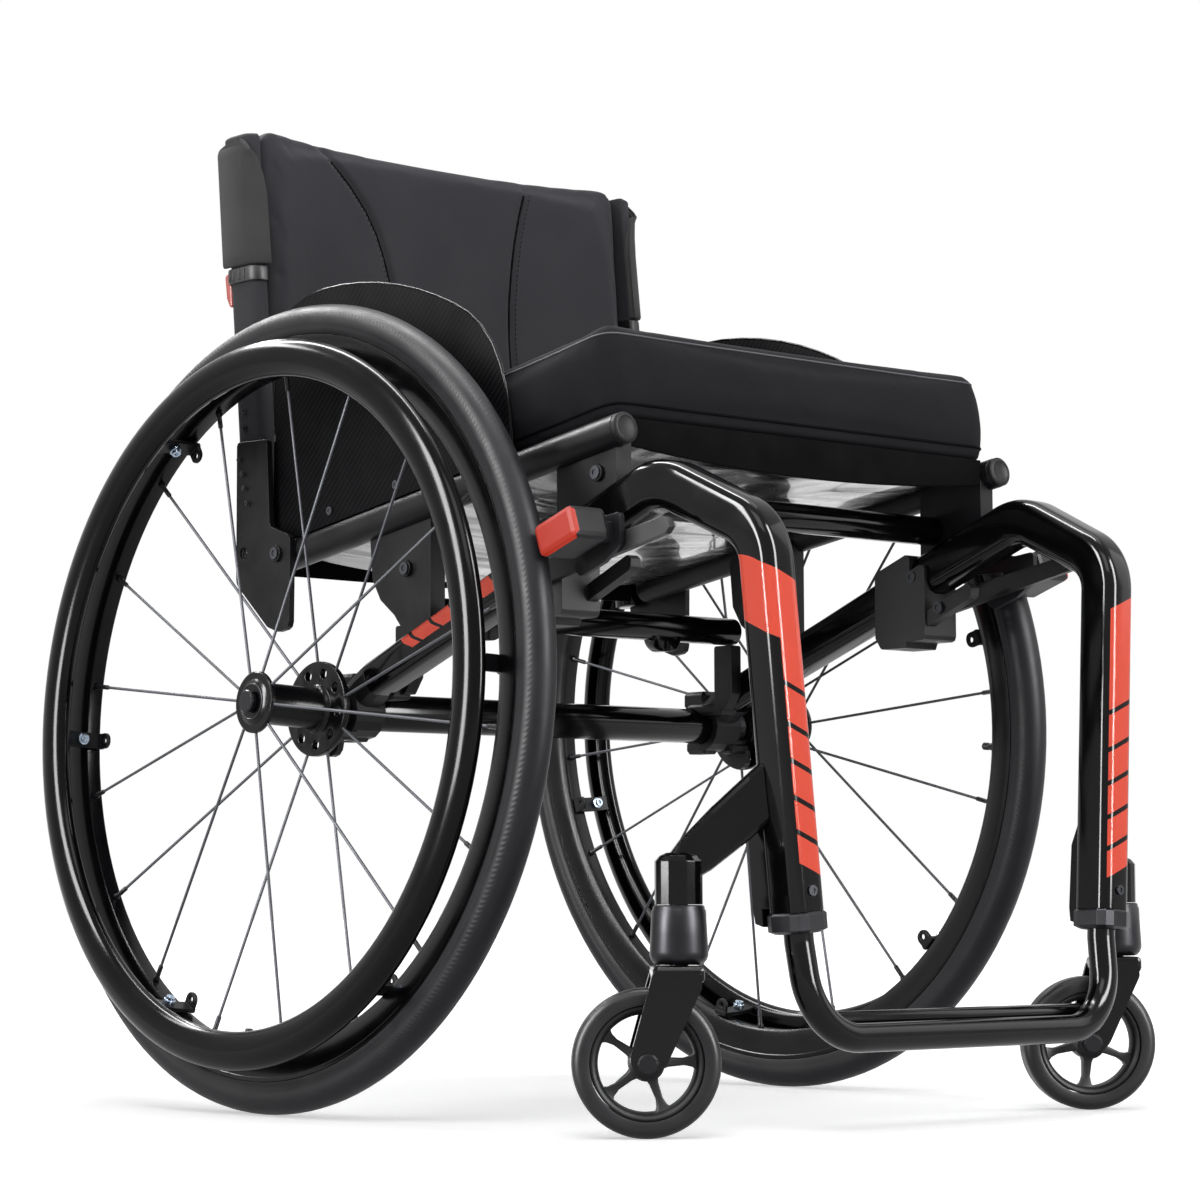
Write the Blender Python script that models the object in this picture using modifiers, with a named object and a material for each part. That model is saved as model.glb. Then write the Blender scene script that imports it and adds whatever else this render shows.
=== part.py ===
"""Rigid wheelchair with cambered wheels, swivel casters and a height-adjusted backrest.

Axes: +Z up, the chair faces -Y, its left side is at +X, the floor is z = 0.
Heights and widths are given in the rear axle's own frame, where the axle lies on
y = 0, and one root empty moves the finished chair so that the middle of its
footprint lies on the origin.
"""

import math

import bmesh
import bpy
from mathutils import Matrix, Vector

# Gap between two solids that touch each other in the real chair.
GAP = 0.0003

# Rear wheels
WHEEL_R = 0.295
WHEEL_TRACK = 0.2467
CAMBER = math.radians(3.0)
TYRE_R = 0.0125
TYRE_HEIGHT = 0.0253
TYRE_BEAD_R = WHEEL_R - TYRE_HEIGHT
TYRE_BEAD_HALF = 0.0080
RIM_LIP = 0.0015
RIM_DEPTH = 0.0217
RIM_FLANGE_R = TYRE_BEAD_R + RIM_LIP
RIM_INNER_R = TYRE_BEAD_R - RIM_DEPTH
RIM_HALF = 0.0105
RIM_INNER_HALF = 0.0060
WHEEL_STEPS = 40
VALVE_LENGTH = 0.0130
VALVE_R = 0.0030
HANDRIM_INSET = 0.0310
HANDRIM_R = WHEEL_R - HANDRIM_INSET
HANDRIM_OFFSET = 0.0334
HANDRIM_HALF_DEPTH = 0.014
HANDRIM_HALF_WIDTH = 0.0085
HANDRIM_TABS = 6
TAB_DEPTH = 0.0084
TAB_HALF_WIDTH = 0.0060
TAB_INNER_H = -0.0065
HUB_BARREL_R = 0.0150
HUB_OUTER_R = 0.0225
HUB_OUTER_H = 0.0300
HUB_INNER_R = 0.0350
HUB_INNER_H = -0.0330
HUB_BORE_R = 0.0066
SPOKES = 18
SPOKE_R = 0.0012
# Angles of each wheel's first spoke and of its valve, from straight up toward the front.
SPOKE_PHASE = {"left": math.radians(-14.0), "right": math.radians(-4.0)}
VALVE_ANGLE = {"left": math.radians(96.0), "right": math.radians(186.0)}
AXLE_PIN_R = 0.0060
BUTTON_R = 0.0085
BUTTON_TRAVEL = 0.0028

# Casters
CASTER_R = 0.048
CASTER_TYRE_HALF = 0.0145
CASTER_RIM_R = 0.0370
CASTER_STEM_X = 0.2173
CASTER_STEM_Y = -0.3864
CASTER_TRAIL = 0.0215
CASTER_HEADING = math.radians(-39.5)
CASTER_STEM_R = 0.0060
CASTER_BORE_R = 0.0066
CASTER_STEPS = 24
CUP_R = 0.0190
CUP_BOTTOM = 0.1104
CUP_TOP = 0.1489
HOUSING_R = 0.0155
HOUSING_TOP = 0.1830
FORK_LEG_IN = 0.0165
FORK_LEG_OUT = 0.0215

# Side frames
TUBE_HALF_X = 0.0140
TUBE_HALF_REAR = 0.0130
TUBE_HALF_PEAK = 0.0170
TUBE_HALF_LEG = 0.0160
TUBE_CORNER = 0.0085
DIAGONAL_X = 0.1815
DIAGONAL_SLOPE = 0.384
DIAGONAL_Z0 = 0.3030
DIAGONAL_END_Y = -0.0290
PEAK_Y = -0.3373
BEND_X = 0.1725
BEND_Y = -0.4218
BEND_Z = 0.3929
LEG_END_X = 0.1523
LEG_END_Y = -0.4286
LEG_END_Z = 0.1443

# Cross members and axle
AXLE_TUBE_R = 0.0138
SLEEVE_R = 0.0115
SLEEVE_REACH = 0.0160
AXLE_TUBE_HALF = (WHEEL_TRACK + (HUB_INNER_H - SLEEVE_REACH) * math.cos(CAMBER)
                  - SLEEVE_R * math.sin(CAMBER) - GAP)
CROSS_TUBE_R = 0.0108
REAR_CROSS_Y = -0.0400
REAR_CROSS_Z = 0.3650
FRONT_CROSS_Y = -0.2500
FRONT_CROSS_Z = 0.4290
RISER_IN = 0.1765
RISER_OUT = 0.1900
FRONT_RISER_Y = (-0.2980, -0.2365)
REAR_RISER_Y = (-0.0980, -0.0270)
REAR_RISER_HEEL_Y = -0.0720
UPRIGHT_X = (0.1570, 0.1672)

# Seat
RAIL_X = 0.1890
RAIL_R = 0.0112
RAIL_FRONT_Y = -0.3077
RAIL_REAR_Y = 0.0860
RAIL_Z0 = 0.4229
RAIL_SLOPE = 0.156
SLING_THICK = 0.0030
SLING_SAG = 0.0120
CUSHION_HALF_X = 0.1870
CUSHION_FRONT_Y = -0.2960
CUSHION_REAR_Y = 0.0700
CUSHION_TOP = 0.0765
GUARD_IN = 0.1945
GUARD_OUT = 0.1965
GUARD_REAR_Y = 0.0705
GUARD_FRONT_Y = -0.1965
GUARD_TOP_Z = 0.6120

# Backrest
BACK_PIVOT_Z = 0.4160
POST_X = 0.1890
POST_R = 0.0108
POST_Y0 = 0.1170
POST_Z0 = 0.5000
POST_LEAN = 0.0917
POST_BOTTOM_Z = 0.3960
POST_TOP_Z = 0.7470
PLATE_IN = RAIL_X + RAIL_R
PLATE_OUT = PLATE_IN + 0.0050
PLATE_TOP_Z = 0.5018
PLATE_BOTTOM_Z = 0.3535
BACK_BOTTOM_Z = 0.4980
BACK_TOP_Z = 0.7470
BACK_THICK = 0.0300
BACK_HOLLOW = 0.0250
STRIP_BOTTOM_Z = 0.6400
STRIP_OUT = 0.2040

# Brakes
SHOE_CLEAR = 0.0030
SHOE_HALF_LENGTH = 0.0200
SHOE_HALF_THICK = 0.0115
SHOE_HALF_WIDTH = 0.0160
SHOE_X = 0.2330
SHOE_LIFT = math.radians(18.8)
CLAMP_HALF_X = 0.0175
LEVER_IN = 0.2004
LEVER_OUT = 0.2056
LEVER_LENGTH = 0.1400
ARM_IN = 0.2060
ARM_OUT = 0.2100
STUD_R = 0.0038

# Footrest
FOOT_TUBE_R = 0.0098
FOOT_CORNER_X = 0.1463
FOOT_CORNER_Y = -0.4380
FOOT_BAR_Z = 0.0620
FOOT_BEND_R = 0.0450
FOOT_BAR2_R = 0.0060
FOOT_BAR2_Z = 0.0730


def rail_z(y):
    """Height of the seat rail's centre line at y."""
    return RAIL_Z0 - RAIL_SLOPE * y


def diagonal_z(y):
    """Height of the side tube's centre line along its diagonal run."""
    return DIAGONAL_Z0 - DIAGONAL_SLOPE * y


def post_y(z):
    """Depth of the back post's centre line at height z."""
    return POST_Y0 + POST_LEAN * (z - POST_Z0)


def tyre_profile():
    """Tyre section as (height along the axle, radius), from one bead over the tread to the other."""
    centre = WHEEL_R - TYRE_R
    points = [(TYRE_BEAD_HALF, TYRE_BEAD_R)]
    for k in range(6):
        angle = math.radians(-20 + 220 * k / 5)
        points.append((TYRE_R * math.cos(angle), centre + TYRE_R * math.sin(angle)))
    points.append((-TYRE_BEAD_HALF, TYRE_BEAD_R))
    return points


# Height of the rear wheel's centre when its section, leaning by the camber, touches the floor.
AXLE_Z = max(r * math.cos(CAMBER) - h * math.sin(CAMBER) for h, r in tyre_profile())
TUBE_AXLE_Z = AXLE_Z - (WHEEL_TRACK - AXLE_TUBE_HALF) * math.tan(CAMBER)
FRONT_EDGE_Y = FOOT_CORNER_Y - FOOT_TUBE_R
AXLE_Y = -(FRONT_EDGE_Y + WHEEL_R) / 2
BACK_PIVOT_Y = post_y(BACK_PIVOT_Z)

# The brake stands off the tyre, so its shoe is placed from the wheel and its pivots from the shoe.
SHOE_REACH = WHEEL_R + SHOE_CLEAR + SHOE_HALF_LENGTH
SHOE_Y = -SHOE_REACH * math.cos(SHOE_LIFT)
SHOE_Z = AXLE_Z + SHOE_REACH * math.sin(SHOE_LIFT)
LEVER_PIVOT_Y = SHOE_Y + 0.0730
LEVER_PIVOT_Z = SHOE_Z - 0.0225
ARM_PIVOT_Y = SHOE_Y + 0.0560
ARM_PIVOT_Z = SHOE_Z + 0.0085


for old in list(bpy.data.objects):
    bpy.data.objects.remove(old, do_unlink=True)

chair = bpy.data.collections.new("wheelchair")
guides = bpy.data.collections.new("wheelchair_cutters")
bpy.context.scene.collection.children.link(chair)
bpy.context.scene.collection.children.link(guides)

root = bpy.data.objects.new("chair_origin", None)
chair.objects.link(root)
root.location = (0.0, AXLE_Y, 0.0)


def make_material(name, colour, roughness, metallic):
    """Principled material from a colour, a roughness and a metallic value."""
    material = bpy.data.materials.new(name)
    material.use_nodes = True
    shader = material.node_tree.nodes["Principled BSDF"]
    shader.inputs["Base Color"].default_value = (*colour, 1.0)
    shader.inputs["Roughness"].default_value = roughness
    shader.inputs["Metallic"].default_value = metallic
    material.diffuse_color = (*colour, 1.0)
    return material


BLACK_PAINT = (0.012, 0.012, 0.014)
FINISHES = {
    "frame": make_material("frame_paint", BLACK_PAINT, 0.28, 0.0),
    "alloy": make_material("grey_alloy", (0.30, 0.31, 0.33), 0.35, 1.0),
    "silver": make_material("silver_alloy", (0.55, 0.56, 0.58), 0.25, 1.0),
    "anodised": make_material("dark_anodised", (0.03, 0.03, 0.035), 0.32, 0.8),
    "plastic": make_material("black_plastic", (0.02, 0.02, 0.022), 0.55, 0.0),
    "rubber": make_material("tyre_rubber", (0.03, 0.03, 0.032), 0.8, 0.0),
    "fabric": make_material("charcoal_fabric", (0.05, 0.05, 0.055), 0.9, 0.0),
    "coral": make_material("coral_paint", (0.75, 0.13, 0.10), 0.4, 0.0),
    "guard": make_material("guard_laminate", (0.02, 0.02, 0.022), 0.3, 0.0),
}


def mesh_from(bm, name):
    """Finish a bmesh: weld it, turn its faces outward and store it as mesh data."""
    bmesh.ops.remove_doubles(bm, verts=bm.verts, dist=1e-6)
    bmesh.ops.recalc_face_normals(bm, faces=bm.faces)
    data = bpy.data.meshes.new(name)
    bm.to_mesh(data)
    bm.free()
    return data


def scratch(data, name="piece"):
    """Wrap mesh data in an object of the cutters' collection."""
    helper = bpy.data.objects.new(name, data)
    helper.hide_render = True
    helper.display_type = "WIRE"
    guides.objects.link(helper)
    return helper


def bake(helper):
    """Evaluate an object in place, weld the result and drop the object."""
    bpy.context.view_layer.update()
    graph = bpy.context.evaluated_depsgraph_get()
    data = bpy.data.meshes.new_from_object(helper.evaluated_get(graph))
    data.transform(helper.matrix_world)
    bm = bmesh.new()
    bm.from_mesh(data)
    bpy.data.objects.remove(helper, do_unlink=True)
    bmesh.ops.remove_doubles(bm, verts=bm.verts, dist=1e-6)
    bmesh.ops.dissolve_degenerate(bm, edges=bm.edges, dist=1e-7)
    return mesh_from(bm, "baked")


def boolean(base, others, operation):
    """Join or cut mesh data with a list of other mesh data."""
    for other in others:
        target = scratch(base)
        cutter = scratch(other)
        step = target.modifiers.new(operation.lower(), "BOOLEAN")
        step.operation = operation
        step.solver = "EXACT"
        step.object = cutter
        base = bake(target)
        bpy.data.objects.remove(cutter, do_unlink=True)
    return base


def union(*shapes):
    """Join overlapping closed shapes into one body."""
    return boolean(shapes[0], shapes[1:], "UNION")


def cut(base, *cutters):
    """Take closed cutters out of a body."""
    return boolean(base, cutters, "DIFFERENCE")


def moved(data, matrix):
    """A transformed copy of mesh data."""
    copy = data.copy()
    copy.transform(matrix)
    if matrix.determinant() < 0:
        copy.flip_normals()
    return copy


def mirrored(data):
    """The same shape on the chair's other side."""
    return moved(data, Matrix.Scale(-1.0, 4, Vector((1, 0, 0))))


def axis_frame(origin, direction, up=Vector((0, 0, 1))):
    """Matrix whose local Z runs along direction and whose local X lies toward up."""
    z = Vector(direction).normalized()
    x = Vector(up) - z * z.dot(Vector(up))
    x.normalize()
    y = z.cross(x)
    matrix = Matrix((x, y, z)).transposed().to_4x4()
    matrix.translation = Vector(origin)
    return matrix


def cylinder(start, end, radius, sides=16, end_radius=None, up=Vector((0, 0, 1))):
    """Closed cylinder or cone between two points."""
    start, end = Vector(start), Vector(end)
    if abs((end - start).normalized().dot(up)) > 0.99:
        up = Vector((1, 0, 0))
    bm = bmesh.new()
    place = axis_frame((start + end) / 2, end - start, up)
    bmesh.ops.create_cone(bm, cap_ends=True, segments=sides, radius1=radius,
                          radius2=radius if end_radius is None else end_radius,
                          depth=(end - start).length, matrix=place)
    return mesh_from(bm, "cylinder")


def block(low, high, bevel=0.0, matrix=None, segments=1):
    """Box between two corners, with its edges rounded."""
    low, high = Vector(low), Vector(high)
    bm = bmesh.new()
    size = high - low
    place = Matrix.Translation((low + high) / 2) @ Matrix.Diagonal((*size, 1.0))
    bmesh.ops.create_cube(bm, size=1.0, matrix=place)
    if bevel:
        bmesh.ops.bevel(bm, geom=list(bm.edges), offset=bevel, segments=segments, affect="EDGES",
                        profile=0.5)
    if matrix is not None:
        bmesh.ops.transform(bm, matrix=matrix, verts=bm.verts)
    return mesh_from(bm, "block")


def turned(profile, steps, matrix=None):
    """Turn a closed section of (height, radius) points about the local Z axis."""
    data = bpy.data.meshes.new("profile")
    points = [(radius, 0.0, height) for height, radius in profile]
    count = len(points)
    on_axis = profile[0][1] == 0.0 and profile[-1][1] == 0.0
    edges = [(k, k + 1) for k in range(count - 1)]
    if not on_axis:
        edges.append((count - 1, 0))
    data.from_pydata(points, edges, [])
    helper = scratch(data)
    screw = helper.modifiers.new("turn", "SCREW")
    screw.axis = "Z"
    screw.steps = steps
    screw.render_steps = steps
    screw.use_merge_vertices = True
    screw.merge_threshold = 0.00001
    solid = bake(helper)
    if matrix is not None:
        solid.transform(matrix)
    return solid


def tube(path, radius, sides=12):
    """Round bar along a path, made as a bevelled curve with filled caps."""
    line = bpy.data.curves.new("path", "CURVE")
    line.dimensions = "3D"
    line.bevel_depth = radius
    line.bevel_resolution = max(0, sides // 4 - 1)
    line.use_fill_caps = True
    spline = line.splines.new("POLY")
    spline.points.add(len(path) - 1)
    for point, place in zip(spline.points, path):
        point.co = (*place, 1.0)
    helper = bpy.data.objects.new("path", line)
    guides.objects.link(helper)
    return bake(helper)


def plate(outline, low_x, high_x, bevel=0.0):
    """Flat plate: an outline of (y, z) points, thick from low_x to high_x."""
    line = bpy.data.curves.new("outline", "CURVE")
    line.dimensions = "2D"
    line.fill_mode = "BOTH"
    line.extrude = (high_x - low_x) / 2 - bevel
    line.bevel_depth = bevel
    line.bevel_resolution = 0
    line.offset = -bevel
    spline = line.splines.new("POLY")
    spline.points.add(len(outline) - 1)
    for point, (y, z) in zip(spline.points, outline):
        point.co = (y, z, 0.0, 1.0)
    spline.use_cyclic_u = True
    helper = bpy.data.objects.new("outline", line)
    guides.objects.link(helper)
    stand = Matrix(((0, 0, 1, (low_x + high_x) / 2), (1, 0, 0, 0), (0, 1, 0, 0), (0, 0, 0, 1)))
    helper.matrix_world = stand
    return bake(helper)


def rounded(corners, radii, steps=4):
    """Replace the corners of an open path by arcs of the given radii."""
    points = [Vector(corners[0])]
    for k in range(1, len(corners) - 1):
        before, here, after = (Vector(corners[k + d]) for d in (-1, 0, 1))
        radius = radii[k - 1]
        into, away = (here - before).normalized(), (after - here).normalized()
        turn = into.angle(away)
        reach = radius * math.tan(turn / 2)
        centre = here + (away - into).normalized() * radius / math.cos(turn / 2)
        spoke = here - into * reach - centre
        axis = into.cross(away)
        for n in range(steps + 1):
            points.append(centre + Matrix.Rotation(turn * n / steps, 3, axis) @ spoke)
    points.append(Vector(corners[-1]))
    return points


def rounded_outline(corners, radius, steps=3):
    """Round the corners of a closed (y, z) outline."""
    result = []
    count = len(corners)
    for k in range(count):
        before = Vector((*corners[k - 1], 0))
        here = Vector((*corners[k], 0))
        after = Vector((*corners[(k + 1) % count], 0))
        size = radius[k] if isinstance(radius, (list, tuple)) else radius
        if size <= 0:
            result.append((here.x, here.y))
            continue
        arc = rounded([before, here, after], [size], steps)[1:-1]
        result.extend((p.x, p.y) for p in arc)
    return result


def section(half_x, half_y, corner, per_corner=2):
    """Rounded rectangle as a list of (x, y) points, counter-clockwise."""
    points = []
    for sx, sy, start in ((1, 1, 0), (-1, 1, 90), (-1, -1, 180), (1, -1, 270)):
        for n in range(per_corner + 1):
            angle = math.radians(start + 90 * n / per_corner)
            points.append((sx * (half_x - corner) + corner * math.cos(angle),
                           sy * (half_y - corner) + corner * math.sin(angle)))
    return points


def loft(rings):
    """Closed solid through rings of equal point count."""
    bm = bmesh.new()
    loops = [[bm.verts.new(point) for point in ring] for ring in rings]
    for first, second in zip(loops, loops[1:]):
        for k in range(len(first)):
            nxt = (k + 1) % len(first)
            bm.faces.new((first[k], first[nxt], second[nxt], second[k]))
    bm.faces.new(list(reversed(loops[0])))
    bm.faces.new(loops[-1])
    return mesh_from(bm, "loft")


def add(name, data, finish, parent=None, local=None):
    """Place finished mesh data in the chair as a named sub-part."""
    data.name = name
    data.materials.clear()
    data.materials.append(FINISHES[finish])
    piece = bpy.data.objects.new(name, data)
    chair.objects.link(piece)
    piece.parent = root if parent is None else parent
    if local is not None:
        data.transform(local)
    data.shade_smooth()
    data.set_sharp_from_angle(angle=math.radians(35))
    return piece


def pivot(name, matrix):
    """Empty on a joint axis, whose local Z is that axis."""
    empty = bpy.data.objects.new(name, None)
    empty.empty_display_size = 0.03
    chair.objects.link(empty)
    empty.parent = root
    empty.matrix_local = matrix
    return empty


def side_frame(margin=0.0, per_corner=2):
    """The left side tube, swept with a section that changes along it."""
    peak = Vector((DIAGONAL_X, PEAK_Y, diagonal_z(PEAK_Y)))
    corners = [
        Vector((DIAGONAL_X, DIAGONAL_END_Y, diagonal_z(DIAGONAL_END_Y))),
        Vector((DIAGONAL_X, PEAK_Y, peak.z)),
        Vector((BEND_X, BEND_Y, BEND_Z)),
        Vector((LEG_END_X, LEG_END_Y, LEG_END_Z)),
    ]
    path = rounded(corners, [0.042, 0.034], 5)
    rings = []
    for k, place in enumerate(path):
        before = path[max(k - 1, 0)]
        after = path[min(k + 1, len(path) - 1)]
        if k == 0:
            run = (after - place).normalized()
        elif k == len(path) - 1:
            run = (place - before).normalized()
        else:
            run = ((place - before).normalized() + (after - place).normalized()).normalized()
        if place.y > PEAK_Y:
            share = (DIAGONAL_END_Y - place.y) / (DIAGONAL_END_Y - PEAK_Y)
            half = TUBE_HALF_REAR + (TUBE_HALF_PEAK - TUBE_HALF_REAR) * share
        else:
            share = min(1.0, (PEAK_Y - place.y) / (PEAK_Y - BEND_Y))
            half = TUBE_HALF_PEAK + (TUBE_HALF_LEG - TUBE_HALF_PEAK) * share
        across = Vector((1, 0, 0))
        across = (across - run * run.dot(across)).normalized()
        tall = run.cross(across)
        shape = section(TUBE_HALF_X + margin, half + margin, TUBE_CORNER + margin, per_corner)
        rings.append([place + across * a + tall * b for a, b in shape])
    return loft(rings)


def wheel_axis(side):
    """Frame of one rear wheel: Z points outward along its axle, X points up the wheel."""
    outward = Vector((side * math.cos(CAMBER), 0, math.sin(CAMBER)))
    return axis_frame((side * WHEEL_TRACK, 0, AXLE_Z), outward)


def rear_wheel(side, label):
    """Tyre, rim, spoked hub, hand rim, axle pin and release button of one rear wheel."""
    place = wheel_axis(side)
    hub_axis = pivot(f"wheel_axis_{label}", place)
    add(f"rear_tyre_{label}", turned(tyre_profile(), WHEEL_STEPS), "rubber", hub_axis)
    floor_r = TYRE_BEAD_R - GAP
    phase = SPOKE_PHASE[label]
    rim = [
        (RIM_HALF, RIM_FLANGE_R), (TYRE_BEAD_HALF + 4 * GAP, RIM_FLANGE_R),
        (TYRE_BEAD_HALF + 4 * GAP, floor_r), (-TYRE_BEAD_HALF - 4 * GAP, floor_r),
        (-TYRE_BEAD_HALF - 4 * GAP, RIM_FLANGE_R), (-RIM_HALF, RIM_FLANGE_R),
        (-RIM_INNER_HALF, RIM_INNER_R), (RIM_INNER_HALF, RIM_INNER_R),
    ]
    rim_r = RIM_INNER_R * math.cos(math.pi / WHEEL_STEPS) - GAP
    valve = cylinder((RIM_INNER_R + 0.004, 0, 0), (RIM_INNER_R - VALVE_LENGTH, 0, 0), VALVE_R, 8)
    valve = moved(valve, Matrix.Rotation(side * VALVE_ANGLE[label], 4, "Z"))
    add(f"rear_rim_{label}", union(turned(rim, WHEEL_STEPS), valve), "anodised", hub_axis)

    barrel = turned([
        (HUB_OUTER_H, HUB_BORE_R), (HUB_OUTER_H, 0.0135), (HUB_OUTER_H - 0.0015, 0.0150),
        (HUB_OUTER_H - 0.0020, HUB_OUTER_R), (HUB_OUTER_H - 0.0060, HUB_OUTER_R),
        (HUB_OUTER_H - 0.0085, HUB_BARREL_R), (HUB_INNER_H + 0.0085, HUB_BARREL_R),
        (HUB_INNER_H + 0.0050, HUB_INNER_R), (HUB_INNER_H, HUB_INNER_R),
        (HUB_INNER_H - 0.0020, 0.0170), (HUB_INNER_H - 0.0020, HUB_BORE_R),
    ], 18)
    holes = []
    for k in range(9):
        angle = phase + math.radians(20 + 40 * k)
        spot = Vector((math.cos(angle), side * math.sin(angle), 0)) * 0.0265
        holes.append(cylinder(spot + Vector((0, 0, HUB_INNER_H - 0.004)),
                              spot + Vector((0, 0, HUB_INNER_H + 0.012)), 0.0036, 6))
    barrel = cut(barrel, *holes)
    spokes = []
    for k in range(SPOKES):
        angle = phase + 2 * math.pi * k / SPOKES
        out = Vector((math.cos(angle), side * math.sin(angle), 0))
        if k % 2:
            foot = out * (HUB_OUTER_R - 0.004) + Vector((0, 0, HUB_OUTER_H - 0.004))
        else:
            foot = out * (HUB_INNER_R - 0.004) + Vector((0, 0, HUB_INNER_H + 0.0025))
        spokes.append(cylinder(foot, out * rim_r, SPOKE_R, 5))
    add(f"rear_hub_{label}", union(barrel, *spokes), "anodised", hub_axis)

    ring_r = HANDRIM_R - HANDRIM_HALF_DEPTH
    ring = []
    for k in range(8):
        angle = math.radians(22.5 + 45 * k)
        stretch = 1 / math.cos(math.radians(22.5))
        ring.append((HANDRIM_OFFSET + HANDRIM_HALF_WIDTH * math.cos(angle) * stretch,
                     ring_r + HANDRIM_HALF_DEPTH * math.sin(angle) * stretch))
    handrim = turned(ring, WHEEL_STEPS)
    tabs = []
    low_r = rim_r - TAB_DEPTH
    for k in range(HANDRIM_TABS):
        turn = Matrix.Rotation(side * (phase + math.radians(30) + 2 * math.pi * k / HANDRIM_TABS), 4, "Z")
        tab = block((low_r, -TAB_HALF_WIDTH, TAB_INNER_H), (rim_r, TAB_HALF_WIDTH, HANDRIM_OFFSET - 0.004))
        screw = cylinder((low_r + 0.001, 0, 0), (low_r - 0.0045, 0, 0), 0.0042, 8)
        tabs += [moved(tab, turn), moved(screw, turn)]
    add(f"handrim_{label}", union(handrim, *tabs), "frame", hub_axis)

    inner_end = HUB_INNER_H - 0.0130
    pin = turned([
        (HUB_OUTER_H + 0.0003, 0.0036), (HUB_OUTER_H + 0.0003, AXLE_PIN_R), (inner_end, AXLE_PIN_R),
        (inner_end, 0.0), (HUB_OUTER_H - 0.0100, 0.0), (HUB_OUTER_H - 0.0100, 0.0036),
    ], 16)
    add(f"axle_pin_{label}", pin, "alloy", hub_axis)
    head = HUB_OUTER_H + 0.0007 + BUTTON_TRAVEL
    button = turned([
        (head + 0.0020, 0.0), (head + 0.0020, BUTTON_R - 0.001), (head + 0.0010, BUTTON_R),
        (head, BUTTON_R), (head, 0.0030), (HUB_OUTER_H - 0.0040, 0.0030),
        (HUB_OUTER_H - 0.0040, 0.0),
    ], 16)
    add(f"axle_button_{label}", button, "alloy", hub_axis)


def axle_parts(side, label):
    """Sleeve of one wheel socket and the bracket that clamps the axle tube to the side frame."""
    place = wheel_axis(side)
    sleeve = turned([
        (HUB_INNER_H - 0.0024, AXLE_PIN_R + GAP), (HUB_INNER_H - 0.0024, SLEEVE_R - 0.0015),
        (HUB_INNER_H - 0.0040, SLEEVE_R), (HUB_INNER_H - SLEEVE_REACH, SLEEVE_R),
        (HUB_INNER_H - SLEEVE_REACH, AXLE_PIN_R + GAP),
    ], 16)
    sleeve.transform(place)
    add(f"axle_sleeve_{label}", sleeve, "silver")

    ring_in, ring_out = DIAGONAL_X - 0.0125, DIAGONAL_X + TUBE_HALF_X
    ring = cylinder((ring_in, 0, TUBE_AXLE_Z), (ring_out, 0, TUBE_AXLE_Z), AXLE_TUBE_R + 0.0062, 16)
    run = Vector((0, 1, -DIAGONAL_SLOPE)).normalized()
    tall = Vector((0, DIAGONAL_SLOPE, 1)).normalized()
    start = Vector((DIAGONAL_X, DIAGONAL_END_Y, diagonal_z(DIAGONAL_END_Y))) + run * GAP
    shape = section(TUBE_HALF_X, TUBE_HALF_REAR, TUBE_CORNER, 2)
    socket = loft([[start + run * t + Vector((1, 0, 0)) * a + tall * (b - drop) for a, b in shape]
                   for t, drop in ((0.0, 0.0), (0.014, 0.002), (0.030, 0.006))])
    ears = [block((ring_in, -0.004, TUBE_AXLE_Z + 0.0140), (ring_in + 0.018, 0.0215, TUBE_AXLE_Z + 0.0285),
                  0.003),
            block((ring_in, -0.004, TUBE_AXLE_Z - 0.0220), (ring_in + 0.018, 0.0190, TUBE_AXLE_Z - 0.0110),
                  0.003)]
    lug = block((ring_out - 0.006, -0.0140, TUBE_AXLE_Z - 0.0215),
                (ring_out + 0.0150, 0.0020, TUBE_AXLE_Z - 0.0135), 0.002)
    upright_rear = REAR_CROSS_Y + 0.011
    upright_front = REAR_CROSS_Y - 0.009
    upright_top = REAR_CROSS_Z - CROSS_TUBE_R - GAP
    upright = plate(rounded_outline([
        (upright_rear, upright_top), (upright_front, upright_top), (upright_front, TUBE_AXLE_Z + 0.0240),
        (REAR_CROSS_Y, TUBE_AXLE_Z + 0.0120), (upright_rear, TUBE_AXLE_Z + 0.0120),
    ], 0.002, 2), *UPRIGHT_X)
    foot = block((UPRIGHT_X[0], REAR_CROSS_Y + 0.004, TUBE_AXLE_Z + 0.008),
                 (0.1760, 0.004, TUBE_AXLE_Z + 0.017), 0.002)
    bolt = cylinder((ring_out + 0.0090, -0.0060, TUBE_AXLE_Z - 0.0240),
                    (ring_out + 0.0145, -0.0060, TUBE_AXLE_Z - 0.0240), 0.0100, 12)
    bracket = union(ring, socket, *ears, lug, foot, upright, bolt)
    bore = cylinder((ring_in - 0.02, 0, TUBE_AXLE_Z), (ring_out + 0.02, 0, TUBE_AXLE_Z),
                    AXLE_TUBE_R + GAP, 20)
    keep_clear = side_frame(GAP)
    bracket = cut(bracket, bore, keep_clear)
    add(f"axle_bracket_{label}", bracket if side > 0 else mirrored(bracket), "frame")


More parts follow.
